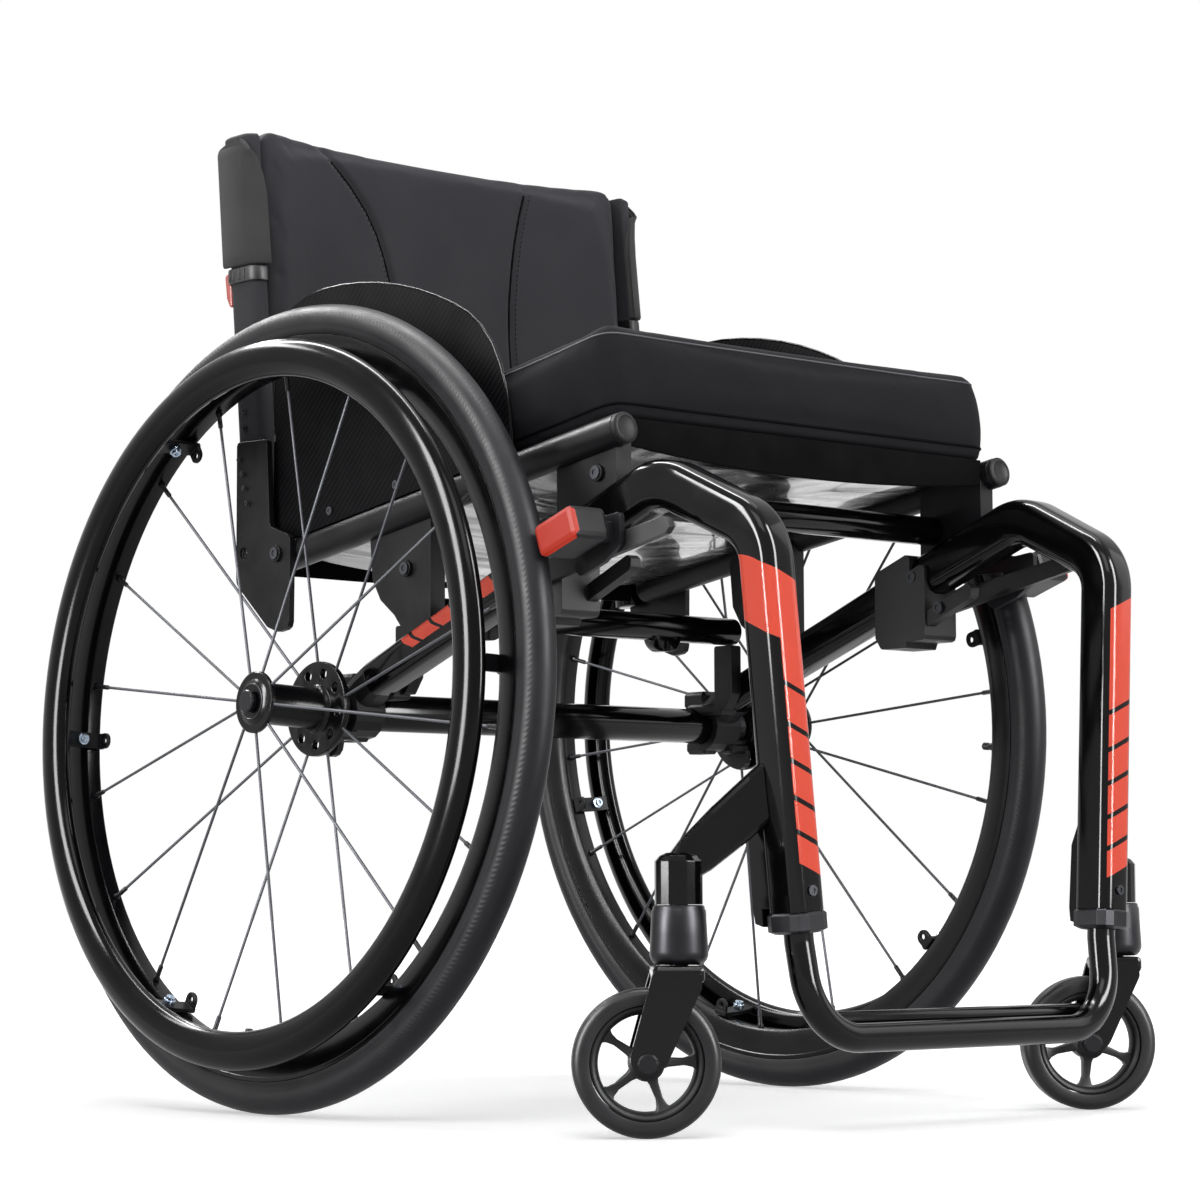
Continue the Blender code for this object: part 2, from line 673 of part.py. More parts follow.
def caster_arm():
    """The left caster's arm and stem housing, carried by the front leg."""
    root_x = LEG_END_X + (0.214 - LEG_END_Z) * (BEND_X - LEG_END_X) / (BEND_Z - LEG_END_Z)
    start = Vector((root_x, LEG_END_Y + 0.004, 0.2340))
    end = Vector((CASTER_STEM_X, CASTER_STEM_Y, 0.1745))
    flat = (end - start)
    flat.z = 0
    flat.normalize()
    across = Vector((-flat.y, flat.x, 0))
    rings = []
    for share, tall, thick in ((0.0, 0.0223, 0.0070), (0.35, 0.0218, 0.0065), (0.70, 0.0200, 0.0065),
                               (1.0, 0.0150, 0.0070), (1.12, 0.0110, 0.0065)):
        centre = start.lerp(end, share)
        bulge = Vector((0, 0, -0.0015 * math.sin(math.pi * min(share, 1.0))))
        rings.append([centre + bulge + across * a + Vector((0, 0, b))
                      for a, b in section(thick, tall, 0.0045, 2)])
    arm = loft(rings)
    housing = turned([
        (HOUSING_TOP, 0.0), (HOUSING_TOP - 0.0005, 0.0080), (HOUSING_TOP - 0.0025, 0.0125),
        (HOUSING_TOP - 0.0060, HOUSING_R),
        (CUP_TOP + GAP, HOUSING_R), (CUP_TOP + GAP, CASTER_BORE_R),
        (HOUSING_TOP - 0.009, CASTER_BORE_R), (HOUSING_TOP - 0.009, 0.0),
    ], 16, Matrix.Translation((CASTER_STEM_X, CASTER_STEM_Y, 0)))
    core = cylinder((CASTER_STEM_X, CASTER_STEM_Y, 0.14),
                    (CASTER_STEM_X, CASTER_STEM_Y, HOUSING_TOP - 0.009), CASTER_BORE_R + 0.001, 16)
    back = LEG_END_Y + TUBE_HALF_LEG
    fin = plate([(back - 0.005, LEG_END_Z + 0.002), (back + 0.0020, LEG_END_Z + 0.002),
                 (back + 0.0020, LEG_END_Z - 0.010), (back + 0.0090, LEG_END_Z - 0.008),
                 (back + 0.0105, LEG_END_Z + 0.002), (back + 0.0105, LEG_END_Z + 0.046),
                 (back + 0.0040, LEG_END_Z + 0.064), (back - 0.005, LEG_END_Z + 0.070)], -0.0040, 0.0135)
    lean = (BEND_X - LEG_END_X) / (BEND_Z - LEG_END_Z)
    shear = Matrix(((1, 0, lean, LEG_END_X - lean * LEG_END_Z), (0, 1, 0, 0), (0, 0, 1, 0), (0, 0, 0, 1)))
    fin.transform(shear)
    arm = union(cut(arm, core), housing, fin)
    return cut(arm, side_frame(GAP))


def caster(side, label):
    """Bearing cup, fork, wheel and axle of one caster."""
    stem = Vector((side * CASTER_STEM_X, CASTER_STEM_Y, 0))
    cup = turned([
        (CUP_TOP, CASTER_BORE_R), (CUP_TOP, CUP_R - 0.0030), (CUP_TOP - 0.0040, CUP_R),
        (CUP_BOTTOM + 0.0060, CUP_R), (CUP_BOTTOM + 0.0003, CUP_R - 0.0035),
        (CUP_BOTTOM + 0.0003, CASTER_BORE_R),
    ], 16, Matrix.Translation(stem))
    add(f"bearing_cup_{label}", cup, "alloy")

    swivel = pivot(f"caster_stem_{label}", Matrix.Translation(stem))
    heading = Vector((math.cos(CASTER_HEADING), math.sin(CASTER_HEADING), 0))
    axle = Vector((-heading.y, heading.x, 0))
    hub = Vector((0, 0, CASTER_R)) - heading * CASTER_TRAIL
    turn = Matrix((heading, axle, Vector((0, 0, 1)))).transposed().to_4x4()

    crown = block((-0.0180, -FORK_LEG_OUT, 0.0990), (0.0155, FORK_LEG_OUT, CUP_BOTTOM - GAP),
                  0.0030, turn, 2)
    legs = []
    for flank in (-1, 1):
        low, high = sorted((flank * FORK_LEG_IN, flank * FORK_LEG_OUT))
        outline = rounded_outline([
            (-0.0180, 0.1060), (-CASTER_TRAIL - 0.0125, CASTER_R), (-CASTER_TRAIL, CASTER_R - 0.0125),
            (-CASTER_TRAIL + 0.0125, CASTER_R), (0.0135, 0.0960), (0.0130, 0.1060),
        ], [0.002, 0.010, 0.010, 0.010, 0.004, 0.002], 2)
        leg = plate(outline, low, high)
        leg.transform(turn @ Matrix(((0, 1, 0, 0), (1, 0, 0, 0), (0, 0, 1, 0), (0, 0, 0, 1))))
        leg.flip_normals()
        legs.append(leg)
    post = cylinder((0, 0, 0.1050), (0, 0, HOUSING_TOP - 0.0100), CASTER_STEM_R, 16)
    fork = union(crown, legs[0], legs[1], post)
    bolt_hole = cylinder(hub - axle * 0.05, hub + axle * 0.05, 0.0046, 12)
    fork = cut(fork, bolt_hole)
    add(f"caster_fork_{label}", fork, "frame", swivel)

    spin = axis_frame(stem + hub, axle)
    wheel = pivot(f"caster_axis_{label}", spin)
    tread = [(CASTER_TYRE_HALF - 0.0005, CASTER_RIM_R), (CASTER_TYRE_HALF, CASTER_R - 0.0055),
             (0.0095, CASTER_R - 0.0012), (0.0040, CASTER_R), (-0.0040, CASTER_R),
             (-0.0095, CASTER_R - 0.0012), (-CASTER_TYRE_HALF, CASTER_R - 0.0055),
             (-CASTER_TYRE_HALF + 0.0005, CASTER_RIM_R)]
    add(f"caster_tyre_{label}", turned(tread, CASTER_STEPS), "rubber", wheel)
    ring_r = CASTER_RIM_R - GAP
    ring = turned([(0.0120, ring_r), (-0.0120, ring_r), (-0.0120, ring_r - 0.0035),
                   (-0.0100, ring_r - 0.0055), (0.0100, ring_r - 0.0055), (0.0120, ring_r - 0.0035)],
                  CASTER_STEPS)
    core = turned([(0.0150, 0.0047), (0.0150, 0.0085), (0.0100, 0.0115), (-0.0100, 0.0115),
                   (-0.0150, 0.0085), (-0.0150, 0.0047)], 14)
    spokes = []
    for k in range(5):
        spoke = block((0.0095, -0.0042, -0.0075), (ring_r - 0.0040, 0.0042, 0.0075))
        spokes.append(moved(spoke, Matrix.Rotation(2 * math.pi * k / 5, 4, "Z")))
    add(f"caster_hub_{label}", union(core, *spokes, ring), "plastic", wheel)

    reach = FORK_LEG_OUT + GAP
    bolt = turned([(reach + 0.0040, 0.0), (reach + 0.0040, 0.0060), (reach + 0.0025, 0.0072),
                   (reach, 0.0072), (reach, 0.0042), (-reach, 0.0042), (-reach, 0.0072),
                   (-reach - 0.0025, 0.0072), (-reach - 0.0040, 0.0060), (-reach - 0.0040, 0.0)], 12)
    add(f"caster_axle_{label}", bolt, "alloy", wheel)


def leg_collar():
    """Grey collar between the left front leg and the footrest tube."""
    lean = Vector((BEND_X - LEG_END_X, BEND_Y - LEG_END_Y, BEND_Z - LEG_END_Z)).normalized()
    top = Vector((LEG_END_X, LEG_END_Y, LEG_END_Z))
    across = (Vector((1, 0, 0)) - lean * lean.x).normalized()
    tall = lean.cross(across)
    rings = []
    for drop, grow in ((GAP, 0.0), (0.0018, 0.0012), (0.0120, 0.0012), (0.0140, -0.0020)):
        shape = section(TUBE_HALF_X + grow, TUBE_HALF_LEG + grow, TUBE_CORNER, 2)
        rings.append([top - lean * drop + across * a + tall * b for a, b in shape])
    return loft(rings), top, lean


def footrest_path():
    """Centre line of the footrest tube, from the left collar round to the right one."""
    _, top, lean = leg_collar()
    start = top - lean * (3 * GAP)
    left = [start, top - lean * 0.020, Vector((FOOT_CORNER_X, FOOT_CORNER_Y, FOOT_BAR_Z))]
    right = [Vector((-p.x, p.y, p.z)) for p in reversed(left)]
    return rounded(left + right, [0.030, FOOT_BEND_R, FOOT_BEND_R, 0.030], 4)


def footrest():
    """Footrest tube with its second, thinner bar."""
    loop = tube(footrest_path(), FOOT_TUBE_R, 12)
    bar = cylinder((-0.1310, FOOT_CORNER_Y + 0.0135, FOOT_BAR2_Z),
                   (0.1310, FOOT_CORNER_Y + 0.0135, FOOT_BAR2_Z), FOOT_BAR2_R, 10)
    return union(loop, bar)


def riser(front, rear, heel, bolt_spot):
    """Plate between the left side tube and the seat rail above it, whose rear edge slants to its heel."""
    low = TUBE_HALF_REAR / math.cos(math.atan(DIAGONAL_SLOPE)) + 0.0002
    outline = [
        (heel, diagonal_z(heel) + low - 0.004), (front, diagonal_z(front) + low - 0.004),
        (front, rail_z(front) - 0.002), (rear, rail_z(rear) - 0.002),
    ]
    if heel != rear:
        outline += [(rear + (heel - rear) * share, rail_z(rear) - drop)
                    for share, drop in ((0.08, 0.0405), (0.29, 0.0560), (0.65, 0.0680))]
    body = plate(rounded_outline(outline, 0.003, 2), RISER_IN, RISER_OUT)
    head = cylinder((RISER_OUT - 0.001, *bolt_spot), (RISER_OUT + 0.003, *bolt_spot), 0.0062, 10)
    body = union(body, head)
    rail = cylinder((RAIL_X, RAIL_FRONT_Y - 0.05, rail_z(RAIL_FRONT_Y - 0.05)),
                    (RAIL_X, RAIL_REAR_Y + 0.05, rail_z(RAIL_REAR_Y + 0.05)), RAIL_R + GAP, 16)
    return cut(body, side_frame(GAP), rail)


def seat_rail():
    """Left seat rail with its domed end plug."""
    slant = Vector((0, -1, RAIL_SLOPE)).normalized()
    front = Vector((RAIL_X, RAIL_FRONT_Y, rail_z(RAIL_FRONT_Y)))
    rear = Vector((RAIL_X, RAIL_REAR_Y, rail_z(RAIL_REAR_Y)))
    length = (front - rear).length
    profile = [(length, 0.0), (length - 0.0008, 0.0070), (length - 0.0040, RAIL_R),
               (0.0, RAIL_R), (0.0, 0.0)]
    return turned(profile, 16, axis_frame(rear, slant))


def seat_sling():
    """Seat cloth that hangs between the rails."""
    inner = RAIL_X - RAIL_R - GAP
    columns, rows = 10, 4
    bm = bmesh.new()
    layers = []
    for drop in (0.0, SLING_THICK):
        grid = []
        for j in range(rows + 1):
            y = CUSHION_FRONT_Y + 0.002 + (CUSHION_REAR_Y + 0.01 - CUSHION_FRONT_Y) * j / rows
            line = []
            for k in range(columns + 1):
                x = inner * (2 * k / columns - 1)
                sag = SLING_SAG * (1 - (x / inner) ** 2)
                line.append(bm.verts.new((x, y, rail_z(y) + 0.004 - sag - drop)))
            grid.append(line)
        layers.append(grid)
    for grid, order in zip(layers, (1, -1)):
        for j in range(rows):
            for k in range(columns):
                quad = (grid[j][k], grid[j][k + 1], grid[j + 1][k + 1], grid[j + 1][k])
                bm.faces.new(quad[::order])
    top, bottom = layers
    rim_top = top[0] + [line[-1] for line in top[1:]] + top[-1][-2::-1]
    rim_top += [line[0] for line in top[-2:0:-1]]
    rim_low = bottom[0] + [line[-1] for line in bottom[1:]] + bottom[-1][-2::-1]
    rim_low += [line[0] for line in bottom[-2:0:-1]]
    for k in range(len(rim_top)):
        nxt = (k + 1) % len(rim_top)
        bm.faces.new((rim_top[k], rim_low[k], rim_low[nxt], rim_top[nxt]))
    return mesh_from(bm, "sling")


def cushion():
    """Seat cushion with rounded corners, lying on the rails at their slope."""
    tilt = math.atan(RAIL_SLOPE)
    length = (CUSHION_REAR_Y - CUSHION_FRONT_Y) / math.cos(tilt)
    edge = 0.0020
    beside = RAIL_X - (CUSHION_HALF_X - edge)
    bottom = (math.sqrt(RAIL_R ** 2 - beside ** 2) + GAP) / math.cos(tilt)
    bm = bmesh.new()
    height = (CUSHION_TOP - bottom) * math.cos(tilt)
    place = Matrix.Translation((0, 0, height / 2)) @ Matrix.Diagonal(
        (CUSHION_HALF_X * 2, length, height, 1.0))
    bmesh.ops.create_cube(bm, size=1.0, matrix=place)
    upright = [e for e in bm.edges if abs(e.verts[0].co.z - e.verts[1].co.z) > 0.01]
    bmesh.ops.bevel(bm, geom=upright, offset=0.030, segments=4, affect="EDGES", profile=0.5)
    for level, offset, segments in ((height, 0.010, 2), (0.0, edge, 1)):
        flat = [e for e in bm.edges if all(abs(v.co.z - level) < 0.0001 for v in e.verts)]
        bmesh.ops.bevel(bm, geom=flat, offset=offset, segments=segments, affect="EDGES", profile=0.5)
    middle_y = (CUSHION_FRONT_Y + CUSHION_REAR_Y) / 2
    stand = Matrix.Translation((0, middle_y, rail_z(middle_y) + bottom)) @ Matrix.Rotation(
        -tilt, 4, "X")
    bmesh.ops.transform(bm, matrix=stand, verts=bm.verts)
    return mesh_from(bm, "cushion")


def side_guard():
    """Left clothes guard: a curved sheet standing on the seat rail."""
    spot = RAIL_X - (GUARD_IN + GUARD_OUT) / 2
    lift = math.sqrt(RAIL_R ** 2 - (abs(spot) - 0.001) ** 2) / math.cos(math.atan(RAIL_SLOPE)) + GAP
    foot = rail_z(GUARD_FRONT_Y)
    rise = GUARD_TOP_Z - foot
    outline = [
        (GUARD_REAR_Y, rail_z(GUARD_REAR_Y) + lift), (GUARD_REAR_Y, GUARD_TOP_Z),
        (GUARD_FRONT_Y * 0.24, GUARD_TOP_Z - rise * 0.003), (GUARD_FRONT_Y * 0.71, foot + rise * 0.735),
        (GUARD_FRONT_Y * 0.95, foot + rise * 0.37), (GUARD_FRONT_Y, foot + lift),
    ]
    outline = rounded_outline(outline, [0.0, 0.034, 0.110, 0.060, 0.030, 0.0], 4)
    return plate(outline, GUARD_IN, GUARD_OUT)


def back_bracket():
    """Left plate that carries the back post's pivot on the seat rail."""
    rear = post_y(BACK_PIVOT_Z) + 0.0093
    front = rear - 0.0385
    tongue = rear - 0.0675
    outline = rounded_outline([
        (front, PLATE_TOP_Z - 0.0010), (rear, PLATE_TOP_Z), (rear, PLATE_BOTTOM_Z + 0.0395),
        (rear - 0.0400, PLATE_BOTTOM_Z + 0.0045), (rear - 0.0530, PLATE_BOTTOM_Z),
        (tongue, PLATE_BOTTOM_Z + 0.0020), (tongue - 0.0010, 0.4250), (front - 0.0040, 0.4340),
    ], [0.003, 0.003, 0.008, 0.006, 0.006, 0.006, 0.006, 0.004], 2)
    body = plate(outline, PLATE_IN + GAP, PLATE_OUT)
    hole = cylinder((POST_X, BACK_PIVOT_Y, BACK_PIVOT_Z), (PLATE_OUT + 0.02, BACK_PIVOT_Y, BACK_PIVOT_Z),
                    0.0048, 16)
    bolt_y = rear - 0.0530
    bolt = cylinder((PLATE_OUT - 0.001, bolt_y, rail_z(bolt_y)), (PLATE_OUT + 0.003, bolt_y, rail_z(bolt_y)),
                    0.0065, 10)
    return cut(union(body, bolt), hole)


def back_post():
    """Left back post with its pivot pin."""
    low = Vector((POST_X, post_y(POST_BOTTOM_Z), POST_BOTTOM_Z))
    high = Vector((POST_X, post_y(POST_TOP_Z), POST_TOP_Z))
    length = (high - low).length
    bar = turned([(length, 0.0), (length - 0.0010, 0.0075), (length - 0.0035, POST_R),
                  (0.0020, POST_R), (0.0, POST_R - 0.0020), (0.0, 0.0)], 16,
                 axis_frame(low, high - low, Vector((1, 0, 0))))
    pin = cylinder((POST_X, BACK_PIVOT_Y, BACK_PIVOT_Z), (PLATE_OUT - GAP, BACK_PIVOT_Y, BACK_PIVOT_Z),
                   0.0042, 12)
    return union(bar, pin)


def back_panel():
    """Backrest upholstery: a panel between the posts, hollowed for the user's back."""
    half = POST_X - POST_R - GAP
    rings = []
    levels = 6
    for j in range(levels + 1):
        z = BACK_BOTTOM_Z + (BACK_TOP_Z - BACK_BOTTOM_Z) * j / levels
        squeeze = 0.006 if j in (0, levels) else 0.0
        front, back = [], []
        for k in range(13):
            x = half * (k / 6 - 1)
            hollow = BACK_HOLLOW * (1 - (x / half) ** 2)
            face = post_y(z) - 0.0285 + hollow
            front.append(Vector((x, face + squeeze, z)))
            back.append(Vector((x, face + BACK_THICK - squeeze, z)))
        rings.append(front + list(reversed(back)))
    return loft(rings)


def back_strip():
    """Padded strip that carries the upholstery round the front and outer side of the left post."""
    inner = POST_X - POST_R - GAP + 2 * GAP
    outer = POST_X + POST_R + GAP
    front = -POST_R - GAP
    rings = []
    for z in (STRIP_BOTTOM_Z, BACK_TOP_Z - 0.0005):
        y = post_y(z)
        rings.append([Vector((x, y + deep, z)) for x, deep in (
            (inner, front), (inner, -0.0295), (inner + 0.002, -0.0310), (STRIP_OUT - 0.003, -0.0310),
            (STRIP_OUT, -0.0280), (STRIP_OUT, 0.0110), (STRIP_OUT - 0.001, 0.0120), (outer, 0.0120),
            (outer, front))])
    return loft(rings)


def brake_clamp():
    """Left brake clamp with the studs that carry the lever and the shoe arm."""
    front, rear = LEVER_PIVOT_Y - 0.0235, LEVER_PIVOT_Y + 0.0280
    low = LEVER_PIVOT_Z - 0.0276
    over = TUBE_HALF_PEAK + 0.0030
    step = FRONT_RISER_Y[1] + 2 * GAP
    outline = rounded_outline([
        (rear, diagonal_z(rear) + over), (step, diagonal_z(step) + over), (step, diagonal_z(step) + 0.006),
        (front, diagonal_z(front) + 0.006), (front, low),
        (LEVER_PIVOT_Y - 0.0045, low), (LEVER_PIVOT_Y - 0.0025, low - 0.0048),
        (LEVER_PIVOT_Y + 0.0220, low - 0.0048), (rear, low + 0.0040),
    ], [0.005, 0.003, 0.0, 0.004, 0.004, 0.001, 0.001, 0.003, 0.003], 2)
    body = plate(outline, DIAGONAL_X - CLAMP_HALF_X, DIAGONAL_X + CLAMP_HALF_X - GAP)
    cheek = plate(rounded_outline([
        (ARM_PIVOT_Y + 0.0080, ARM_PIVOT_Z - 0.0180), (ARM_PIVOT_Y + 0.0080, ARM_PIVOT_Z + 0.0085),
        (ARM_PIVOT_Y - 0.0080, ARM_PIVOT_Z + 0.0085), (ARM_PIVOT_Y - 0.0065, ARM_PIVOT_Z - 0.0180),
    ], 0.004, 2), DIAGONAL_X + 0.0115, DIAGONAL_X + CLAMP_HALF_X - GAP)
    bar_x = DIAGONAL_X - 0.0105
    bar = plate(rounded_outline([
        (LEVER_PIVOT_Y + 0.0136, low - 0.0050), (LEVER_PIVOT_Y - 0.0655, low + 0.0286),
        (LEVER_PIVOT_Y - 0.0730, low + 0.0385), (LEVER_PIVOT_Y - 0.0640, low + 0.0395),
        (LEVER_PIVOT_Y + 0.0100, low + 0.0080),
    ], [0.002, 0.005, 0.005, 0.004, 0.002], 2), bar_x - 0.0045, bar_x + 0.0045)
    ends = ((LEVER_PIVOT_Y, LEVER_PIVOT_Z, LEVER_OUT), (ARM_PIVOT_Y, ARM_PIVOT_Z, ARM_OUT + 0.0004))
    studs = [cylinder((DIAGONAL_X + 0.010, y, z), (end, y, z), STUD_R, 12) for y, z, end in ends]
    return cut(union(body, bar, cheek, *studs), side_frame(GAP))


def brake_lever():
    """Left brake lever: a flat tapered bar from its pivot forward beside the side tube."""
    spot = Vector((0, LEVER_PIVOT_Y, LEVER_PIVOT_Z))
    run = Vector((0, -1, 0.185)).normalized()
    up = Vector((0, run.z, -run.y))
    ring = [(-0.0080, -0.0050), (-0.0080, 0.0050), (-0.0020, 0.0085), (0.012, 0.0080),
            (LEVER_LENGTH - 0.004, 0.0060), (LEVER_LENGTH, 0.0030), (LEVER_LENGTH, -0.0030),
            (LEVER_LENGTH - 0.004, -0.0060), (0.012, -0.0080), (-0.0020, -0.0085)]
    points = [spot + run * a + up * b for a, b in ring]
    bar = plate([(p.y, p.z) for p in points], LEVER_IN, LEVER_OUT)
    hole = cylinder((LEVER_IN - 0.01, spot.y, spot.z), (LEVER_OUT + 0.01, spot.y, spot.z),
                    STUD_R + 2 * GAP, 12)
    return cut(bar, hole)


def brake_arm():
    """Left brake arm: a bar and link plate with the shoe that is pressed on the tyre's front."""
    shoe_spot = Vector((0, SHOE_Y, SHOE_Z))
    outline = rounded_outline([
        (ARM_PIVOT_Y + 0.0075, ARM_PIVOT_Z + 0.0040), (ARM_PIVOT_Y - 0.0010, ARM_PIVOT_Z + 0.0080),
        (SHOE_Y - 0.0050, SHOE_Z + 0.0120), (SHOE_Y - 0.0225, SHOE_Z + 0.0140),
        (SHOE_Y - 0.0225, SHOE_Z - 0.0080), (SHOE_Y - 0.0055, SHOE_Z - 0.0190),
        (SHOE_Y + 0.0180, SHOE_Z - 0.0270), (SHOE_Y + 0.0270, SHOE_Z - 0.0190),
        (SHOE_Y + 0.0080, SHOE_Z - 0.0080), (SHOE_Y + 0.0050, SHOE_Z + 0.0010),
        (ARM_PIVOT_Y + 0.0020, ARM_PIVOT_Z - 0.0080), (ARM_PIVOT_Y + 0.0075, ARM_PIVOT_Z - 0.0040),
    ], [0.003, 0.003, 0.003, 0.003, 0.003, 0.004, 0.004, 0.004, 0.003, 0.003, 0.003, 0.002], 2)
    bar = plate(outline, ARM_IN, ARM_OUT)
    out = Vector((0, SHOE_Y, SHOE_Z - AXLE_Z)).normalized()
    place = axis_frame(shoe_spot + Vector((SHOE_X, 0, 0)), (1, 0, 0), out)
    shoe = block((-SHOE_HALF_LENGTH, -SHOE_HALF_THICK, -SHOE_HALF_WIDTH),
                 (SHOE_HALF_LENGTH, SHOE_HALF_THICK, SHOE_HALF_WIDTH), 0.004, place, 2)
    bridge = block((ARM_OUT - 0.001, SHOE_Y - 0.0140, SHOE_Z - 0.0060),
                   (SHOE_X - SHOE_HALF_WIDTH + 0.004, SHOE_Y - 0.0040, SHOE_Z + 0.0080), 0.001)
    hole = cylinder((ARM_IN - 0.01, ARM_PIVOT_Y, ARM_PIVOT_Z), (ARM_OUT + 0.01, ARM_PIVOT_Y, ARM_PIVOT_Z),
                    STUD_R + 2 * GAP, 12)
    return cut(union(bar, bridge, shoe), hole)


def pair(stem, data, finish, axis=None):
    """Add a left piece and its mirror image on the right."""
    other = mirrored(data)
    for side, label, shape in ((1, "left", data), (-1, "right", other)):
        parent = None
        local = None
        if axis is not None:
            spot = Matrix.Translation((side * axis[0], axis[1], axis[2]))
            existing = bpy.data.objects.get(f"{axis[3]}_{label}")
            parent = existing or pivot(f"{axis[3]}_{label}", spot)
            local = spot.inverted()
        add(f"{stem}_{label}", shape, finish, parent, local)


for sign, word in ((1, "left"), (-1, "right")):
    rear_wheel(sign, word)
    axle_parts(sign, word)
    caster(sign, word)

pair("side_tube", side_frame(), "frame")
pair("caster_arm", caster_arm(), "frame")

collar, collar_top, collar_lean = leg_collar()
through = cylinder(collar_top + collar_lean * 0.004, collar_top - collar_lean * 0.030,
                   FOOT_TUBE_R + GAP, 20)
pair("leg_collar", cut(collar, through), "alloy")
add("footrest", footrest(), "frame")

add("axle_tube", cylinder((-AXLE_TUBE_HALF, 0, TUBE_AXLE_Z), (AXLE_TUBE_HALF, 0, TUBE_AXLE_Z),
                          AXLE_TUBE_R, 20), "frame")
cross_half = RISER_IN - GAP
add("cross_tube_front", cylinder((-cross_half, FRONT_CROSS_Y, FRONT_CROSS_Z),
                                 (cross_half, FRONT_CROSS_Y, FRONT_CROSS_Z), CROSS_TUBE_R, 16), "frame")
rear_tube = cylinder((-UPRIGHT_X[1], REAR_CROSS_Y, REAR_CROSS_Z), (UPRIGHT_X[1], REAR_CROSS_Y, REAR_CROSS_Z),
                     CROSS_TUBE_R, 16)
pad_z = REAR_CROSS_Z - CROSS_TUBE_R + 0.0050
pads = [cylinder((x, REAR_CROSS_Y - 0.008, pad_z), (x, REAR_CROSS_Y + 0.008, pad_z), 0.0134, 12)
        for x in (-0.0905, 0.0905)]
add("cross_tube_rear", union(rear_tube, *pads), "frame")
pair("front_riser", riser(*FRONT_RISER_Y, FRONT_RISER_Y[1], (-0.2800, 0.4420)), "frame")
pair("rear_riser", riser(*REAR_RISER_Y, REAR_RISER_HEEL_Y, (-0.0720, 0.3920)), "frame")
pair("seat_rail", seat_rail(), "frame")
add("seat_sling", seat_sling(), "fabric")
add("seat_cushion", cushion(), "fabric")
pair("side_guard", side_guard(), "guard")

hinge = (0.0, BACK_PIVOT_Y, BACK_PIVOT_Z)
back_axis = pivot("back_axis", Matrix.Translation(hinge))
to_back = Matrix.Translation(hinge).inverted()
pair("back_bracket", back_bracket(), "frame")
post = back_post()
for word, shape in (("left", post), ("right", mirrored(post))):
    add(f"back_post_{word}", shape, "frame", back_axis, to_back)
strip = back_strip()
for word, shape in (("left", strip), ("right", mirrored(strip))):
    add(f"back_strip_{word}", shape, "fabric", back_axis, to_back)
bar_half = POST_X - POST_R - GAP
add("back_bar", cylinder((-bar_half, post_y(0.455), 0.455), (bar_half, post_y(0.455), 0.455), 0.0080, 14),
    "frame", back_axis, to_back)
add("back_upholstery", back_panel(), "fabric", back_axis, to_back)

pair("brake_clamp", brake_clamp(), "plastic")
pair("brake_lever", brake_lever(), "plastic", (LEVER_OUT, LEVER_PIVOT_Y, LEVER_PIVOT_Z, "lever_axis"))
pair("brake_arm", brake_arm(), "coral", (ARM_OUT, ARM_PIVOT_Y, ARM_PIVOT_Z, "arm_axis"))
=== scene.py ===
"""Looks of a rigid wheelchair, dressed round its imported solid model.

Axes are those of the model: +Z up, the chair faces -Y, its left side is at +X and the
floor is z = 0. Lengths are metres, and names that end in _mm hold millimetres. Sizes
along Y are written in the rear axle's frame, where the axle lies on y = 0, and AXLE_Y
is added when a mesh is finished.
"""

import logging
import math
from collections.abc import Callable
from dataclasses import dataclass
from enum import Enum

import bmesh
import bpy
from mathutils import Matrix, Vector
from mathutils.bvhtree import BVHTree


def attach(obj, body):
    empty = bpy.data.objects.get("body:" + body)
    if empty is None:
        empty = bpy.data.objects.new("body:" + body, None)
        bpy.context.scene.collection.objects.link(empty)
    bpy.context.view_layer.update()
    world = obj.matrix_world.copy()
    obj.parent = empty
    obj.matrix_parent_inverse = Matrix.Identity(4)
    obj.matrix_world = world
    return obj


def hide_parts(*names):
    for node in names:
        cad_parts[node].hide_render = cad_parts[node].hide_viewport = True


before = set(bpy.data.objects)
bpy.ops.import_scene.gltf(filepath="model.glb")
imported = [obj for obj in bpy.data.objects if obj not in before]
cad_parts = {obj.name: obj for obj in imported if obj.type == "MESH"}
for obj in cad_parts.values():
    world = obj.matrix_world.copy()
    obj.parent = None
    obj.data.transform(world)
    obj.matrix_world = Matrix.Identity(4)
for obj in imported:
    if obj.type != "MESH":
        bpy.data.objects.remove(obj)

LOG = logging.getLogger("wheelchair")
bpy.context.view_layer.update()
Mesh, Object = bpy.types.Mesh, bpy.types.Object
Tree, Node, Socket = bpy.types.NodeTree, bpy.types.Node, bpy.types.NodeSocket
Outline, Points = list[tuple[float, float]], tuple[tuple[float, float], ...]

# The model's origin lies this far in front of the rear axle.
AXLE_Y = 0.0764
# Seat rails: height of their centre line at the axle, and how much it drops per metre of Y.
RAIL_X, RAIL_R, RAIL_Z0, RAIL_SLOPE = 0.1890, 0.0112, 0.4229, 0.156
# Length of a side tube along its middle line.
TUBE_LENGTH = 0.6672
# Back posts: place and lean of their centre line.
POST_X, POST_R, POST_Y0, POST_Z0, POST_LEAN = 0.1890, 0.0108, 0.1170, 0.5000, 0.0917


class Side(Enum):
    """Which side of the chair a piece belongs to."""

    LEFT = 1
    RIGHT = -1

    @property
    def label(self) -> str:
        """The side's name in node and body names."""
        return self.name.lower()


def rail_z(y: float) -> float:
    """Height of the seat rail's centre line at y."""
    return RAIL_Z0 - RAIL_SLOPE * y


def post_y(z: float) -> float:
    """Depth of the back post's centre line at height z."""
    return POST_Y0 + POST_LEAN * (z - POST_Z0)


